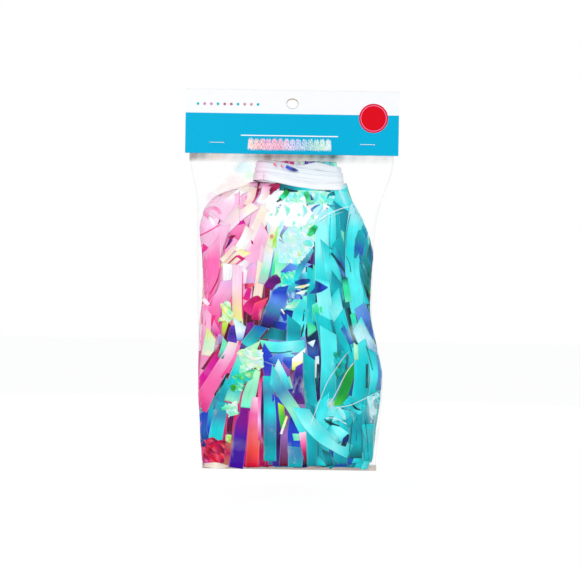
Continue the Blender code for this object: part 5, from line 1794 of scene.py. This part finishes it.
def film_depth(film, bunch, pile, t, x, z, side, rng):
    """How far the film stands from the middle plane, drawn in towards what lies in it."""
    full = np.abs(film.sample(film.y, t, z))
    share = bunch.front_share(x, z)
    row, column = pile.cells(np.where(side < 0, share, 0.5 - share), z)
    piled = np.abs(bunch.sample(bunch.y, share, z)) + pile.height[row, column]
    left = bunch.sample(bunch.x, np.full_like(z, -0.25), z)
    right = bunch.sample(bunch.x, np.full_like(z, 0.25), z)
    piled = np.where((x > left) & (x < right) & (z < bunch.heights[0]), piled, 0.0)
    beyond = np.maximum(np.abs(x - NECK_X) - HEADS_HALF, 0)
    neck = np.sqrt(np.maximum(NECK_REACH**2 - beyond**2, 0)) * (z > NECK_LOW) * (z < NECK_HIGH)
    filled = over_near(over_near(np.maximum(piled, neck), np.max), np.mean)
    room = np.maximum(full - filled - FILM_CLEAR, 0)
    slack = 0.15 + 0.55 * waves(x, z, rng, *SLACK_WAVES)
    wrinkles = waves(x, z, rng, *WRINKLE_WAVES)
    pulled = grown(PULL_FROM - z, PULL_OVER) * grown(z - HEM_TOP, HEM_PULL_OVER)
    pull = np.minimum(room * slack, SLACK_MOST) + np.minimum(room, WRINKLE_MOST) * wrinkles * 0.8
    depth = full - np.minimum(pull * pulled, room)
    depth = np.maximum(depth, np.where(filled > 0, np.minimum(filled + FILM_CLEAR, BAG_HALF_DEPTH), 0))
    free = grown(z - HEM_TOP, HEM_FLAT_OVER) * grown(film.heights[0] - FOLD_FLAT - z, FOLD_FLAT)
    return full + (depth - full) * free


def film_looks(x, z, side, rng):
    """How milky the film is, and its tint, with painted glare and painted shadow laid on."""
    from_edge = np.minimum(np.abs(x - x.min(1, keepdims=True)), np.abs(x - x.max(1, keepdims=True)))
    uneven = 0.5 + 0.5 * waves(x, z, rng, *EDGE_WAVES)
    milk = 0.012 + 0.16 * np.exp(-from_edge / EDGE_MILK_REACH) * uneven
    # Under the card the gathered film takes painted shadow of the card and painted reflections of the
    # contents.
    gathered_shadow = gather_shadow_looks(x)
    gather_shadow = grown(z - GATHER_LOW, GATHER_OVER) * uneven
    milk = milk + gather_shadow * gathered_shadow[..., 3]
    glow = np.clip(waves(x, z, rng, *GLOW_WAVES) - 0.88, 0, 1) * 0.6
    glare, tint = glare_looks(x, z, side, rng)
    hem = z < HEM_TOP + HEM_SPARE
    milk = np.where(hem, HEM_MILK, np.clip(np.maximum(milk + glow, glare), 0, 1))
    edge = np.exp(-from_edge / EDGE_TINT_REACH)[..., None]
    tint = tint * (1 - edge) + linear("grey") * edge
    tint = np.where(gather_shadow[..., None] > 0, gathered_shadow[..., :3], tint)
    return milk, np.where(hem[..., None], linear("sand"), tint)


def glare_looks(x, z, side, rng):
    """How milky the front is where painted glare lies on it, and in which colour."""
    milk = np.zeros_like(x)
    tint = np.broadcast_to(linear("white"), (*x.shape, 3))
    uneven = waves(x, z, rng, *GLARE_WAVES) - 0.5
    for px, py, wide, high, whiteness, name in GLARES:
        cx, cz = photo_point(px, py)
        away = ((x - cx) / (wide * PIXEL)) ** 2 + ((z - cz) / (high * PIXEL)) ** 2
        own = whiteness * np.clip(1.2 * (1 - away) + 0.5 * uneven, 0, 1) * (side < 0)
        tint = np.where((own > milk)[..., None], linear(name), tint)
        milk = np.maximum(milk, own)
    return milk, tint


def gather_shadow_looks(x):
    """The painted shadow and reflections on the gathered film: red, green, blue and strength at each x."""
    places, _ = photo_point([px for px, _, _ in GATHER_SHADOWS], np.full(len(GATHER_SHADOWS), GATHER_ROW))
    rows = np.array([(*linear(name), thick) for _, name, thick in GATHER_SHADOWS])
    return np.stack([np.interp(x, places, rows[:, i]) for i in range(4)], -1)


CREASE_STEP = 1.0 * MM
CREASE_RISES = np.array([0.04, 0.3, 0.04]) * MM
CREASE_MILKS = np.array([0.35, 1.0, 0.35])
CREASE_MOST = 23.95 * MM


def add_creases(build, x, y, levels):
    """Sharp creases that show in front, as thin welts on the film's surface, milky white as painted
    highlights.
    """
    for width, whiteness, *points in CREASES:
        line = photo_line(points, CREASE_STEP)
        from_end = np.minimum(np.arange(len(line)), np.arange(len(line))[::-1])
        half = width * PIXEL / 2 * np.minimum(1, from_end / 6 + 0.2)
        grid, _ = band(line, half, WELT_COLUMNS)
        rows = np.round(np.interp(-grid[..., 1], -levels, np.arange(len(levels)))).astype(int)
        front = np.empty(rows.shape)
        for place, row in np.ndenumerate(rows):
            front[place] = np.interp(grid[place][0], x[row], y[row])
        front = np.stack([softened(column, 1) for column in front.T], 1) - CREASE_RISES
        front = np.maximum(front, -CREASE_MOST)
        milk = np.broadcast_to(CREASE_MILKS * whiteness, front.shape)
        points = np.stack([grid[..., 0], front, grid[..., 1]], -1)
        build.add_grid(points, linear("white"), np.stack([milk, milk * 0], -1))


# Stage

FLOOR = -352.0 * MM
STAGE_SIZE = 12.0
SKY = (0.92, 0.95, 1.0, 1.0)
SKY_STRENGTH = 0.6
WHITE = (1.0, 1.0, 1.0, 1.0)
PALE = (0.9, 0.9, 0.9, 1.0)
FLOOR_GLOW = 1.06
FLOOR_GLOW_SHARE = 0.85
LAMP_SIZE = 1.2
LAMP_AIM = Vector((0, 0, -190.0 * MM))
LAMPS = (
    ("key", (-0.7, -1.5, 0.5), 11.0),
    ("fill", (1.2, -1.3, -0.1), 5.0),
    ("back", (0.3, 1.4, 0.4), 6.0),
)


def background_share(tree):
    """How far a ray is one that shows the background, alone or in gloss and glass."""
    light_path = tree.nodes.new("ShaderNodeLightPath")
    total = light_path.outputs["Is Camera Ray"]
    for name in ("Is Glossy Ray", "Is Transmission Ray"):
        node = tree.nodes.new("ShaderNodeMath")
        node.operation = "MAXIMUM"
        tree.links.new(total, node.inputs[0])
        tree.links.new(light_path.outputs[name], node.inputs[1])
        total = node.outputs[0]
    return total


def make_world():
    world = bpy.data.worlds.new("studio")
    world.use_nodes = True
    tree = world.node_tree
    tree.nodes.clear()
    mix = tree.nodes.new("ShaderNodeMixShader")
    tree.links.new(background_share(tree), mix.inputs[0])
    for number, (colour, strength) in enumerate(((SKY, SKY_STRENGTH), (WHITE, 1.0))):
        light = tree.nodes.new("ShaderNodeBackground")
        light.inputs[0].default_value = colour
        light.inputs[1].default_value = strength
        tree.links.new(light.outputs[0], mix.inputs[number + 1])
    output = tree.nodes.new("ShaderNodeOutputWorld")
    tree.links.new(mix.outputs[0], output.inputs[0])
    bpy.context.scene.world = world


def make_floor():
    bpy.ops.mesh.primitive_plane_add(size=STAGE_SIZE, location=(0, 0, FLOOR))
    floor = bpy.context.object
    floor.name = "studio_floor"
    nodes = Nodes("pale_floor")
    nodes.set(Roughness=0.9, Base_Color=PALE, Specular_IOR_Level=0.1)
    glow = nodes.add("ShaderNodeEmission")
    nodes.join(WHITE, glow.inputs[0])
    nodes.join(FLOOR_GLOW, glow.inputs[1])
    mix = nodes.add("ShaderNodeMixShader")
    share = nodes.maths("MULTIPLY", background_share(nodes.tree), FLOOR_GLOW_SHARE)
    for source, socket in zip((share, nodes.shader.outputs[0], glow.outputs[0]), mix.inputs):
        nodes.join(source, socket)
    nodes.join(mix.outputs[0], nodes.tree.nodes["Material Output"].inputs[0])
    floor.data.materials.append(nodes.material)


def add_lamp(name, place, power):
    lamp = bpy.data.lights.new(name, "AREA")
    lamp.size = LAMP_SIZE
    lamp.energy = power
    holder = bpy.data.objects.new(name, lamp)
    bpy.context.scene.collection.objects.link(holder)
    holder.location = place
    holder.rotation_euler = (LAMP_AIM - Vector(place)).to_track_quat("-Z", "Y").to_euler()


def make_camera():
    lens = bpy.data.cameras.new("camera")
    lens.lens = LENS
    lens.sensor_width = SENSOR
    camera = bpy.data.objects.new("camera", lens)
    bpy.context.scene.collection.objects.link(camera)
    camera.location = (AXIS_X, -DISTANCE, AXIS_Z)
    camera.rotation_euler = (pi / 2, -ROLL, 0)
    bpy.context.scene.camera = camera


def dress(node, finish):
    """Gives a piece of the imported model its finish."""
    if node.material_slots:
        for place in node.material_slots:
            place.material = finish
    else:
        node.data.materials.append(finish)


clear_defaults()
bpy.context.scene.view_settings.view_transform = "Standard"
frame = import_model()
make_camera()
make_world()
make_floor()
for lamp in LAMPS:
    add_lamp(*lamp)

dress(frame["nodes"]["header_card"], card_finish())
steel = steel_finish()
for side_name in ("staple_left", "staple_right"):
    dress(frame["nodes"][side_name], steel)

bunch = make_bunch_skin()
pile = make_tassels(bunch)
make_ribbon(ribbon_finish())
make_bag(make_film_skin(), bunch, pile, clear_finish())
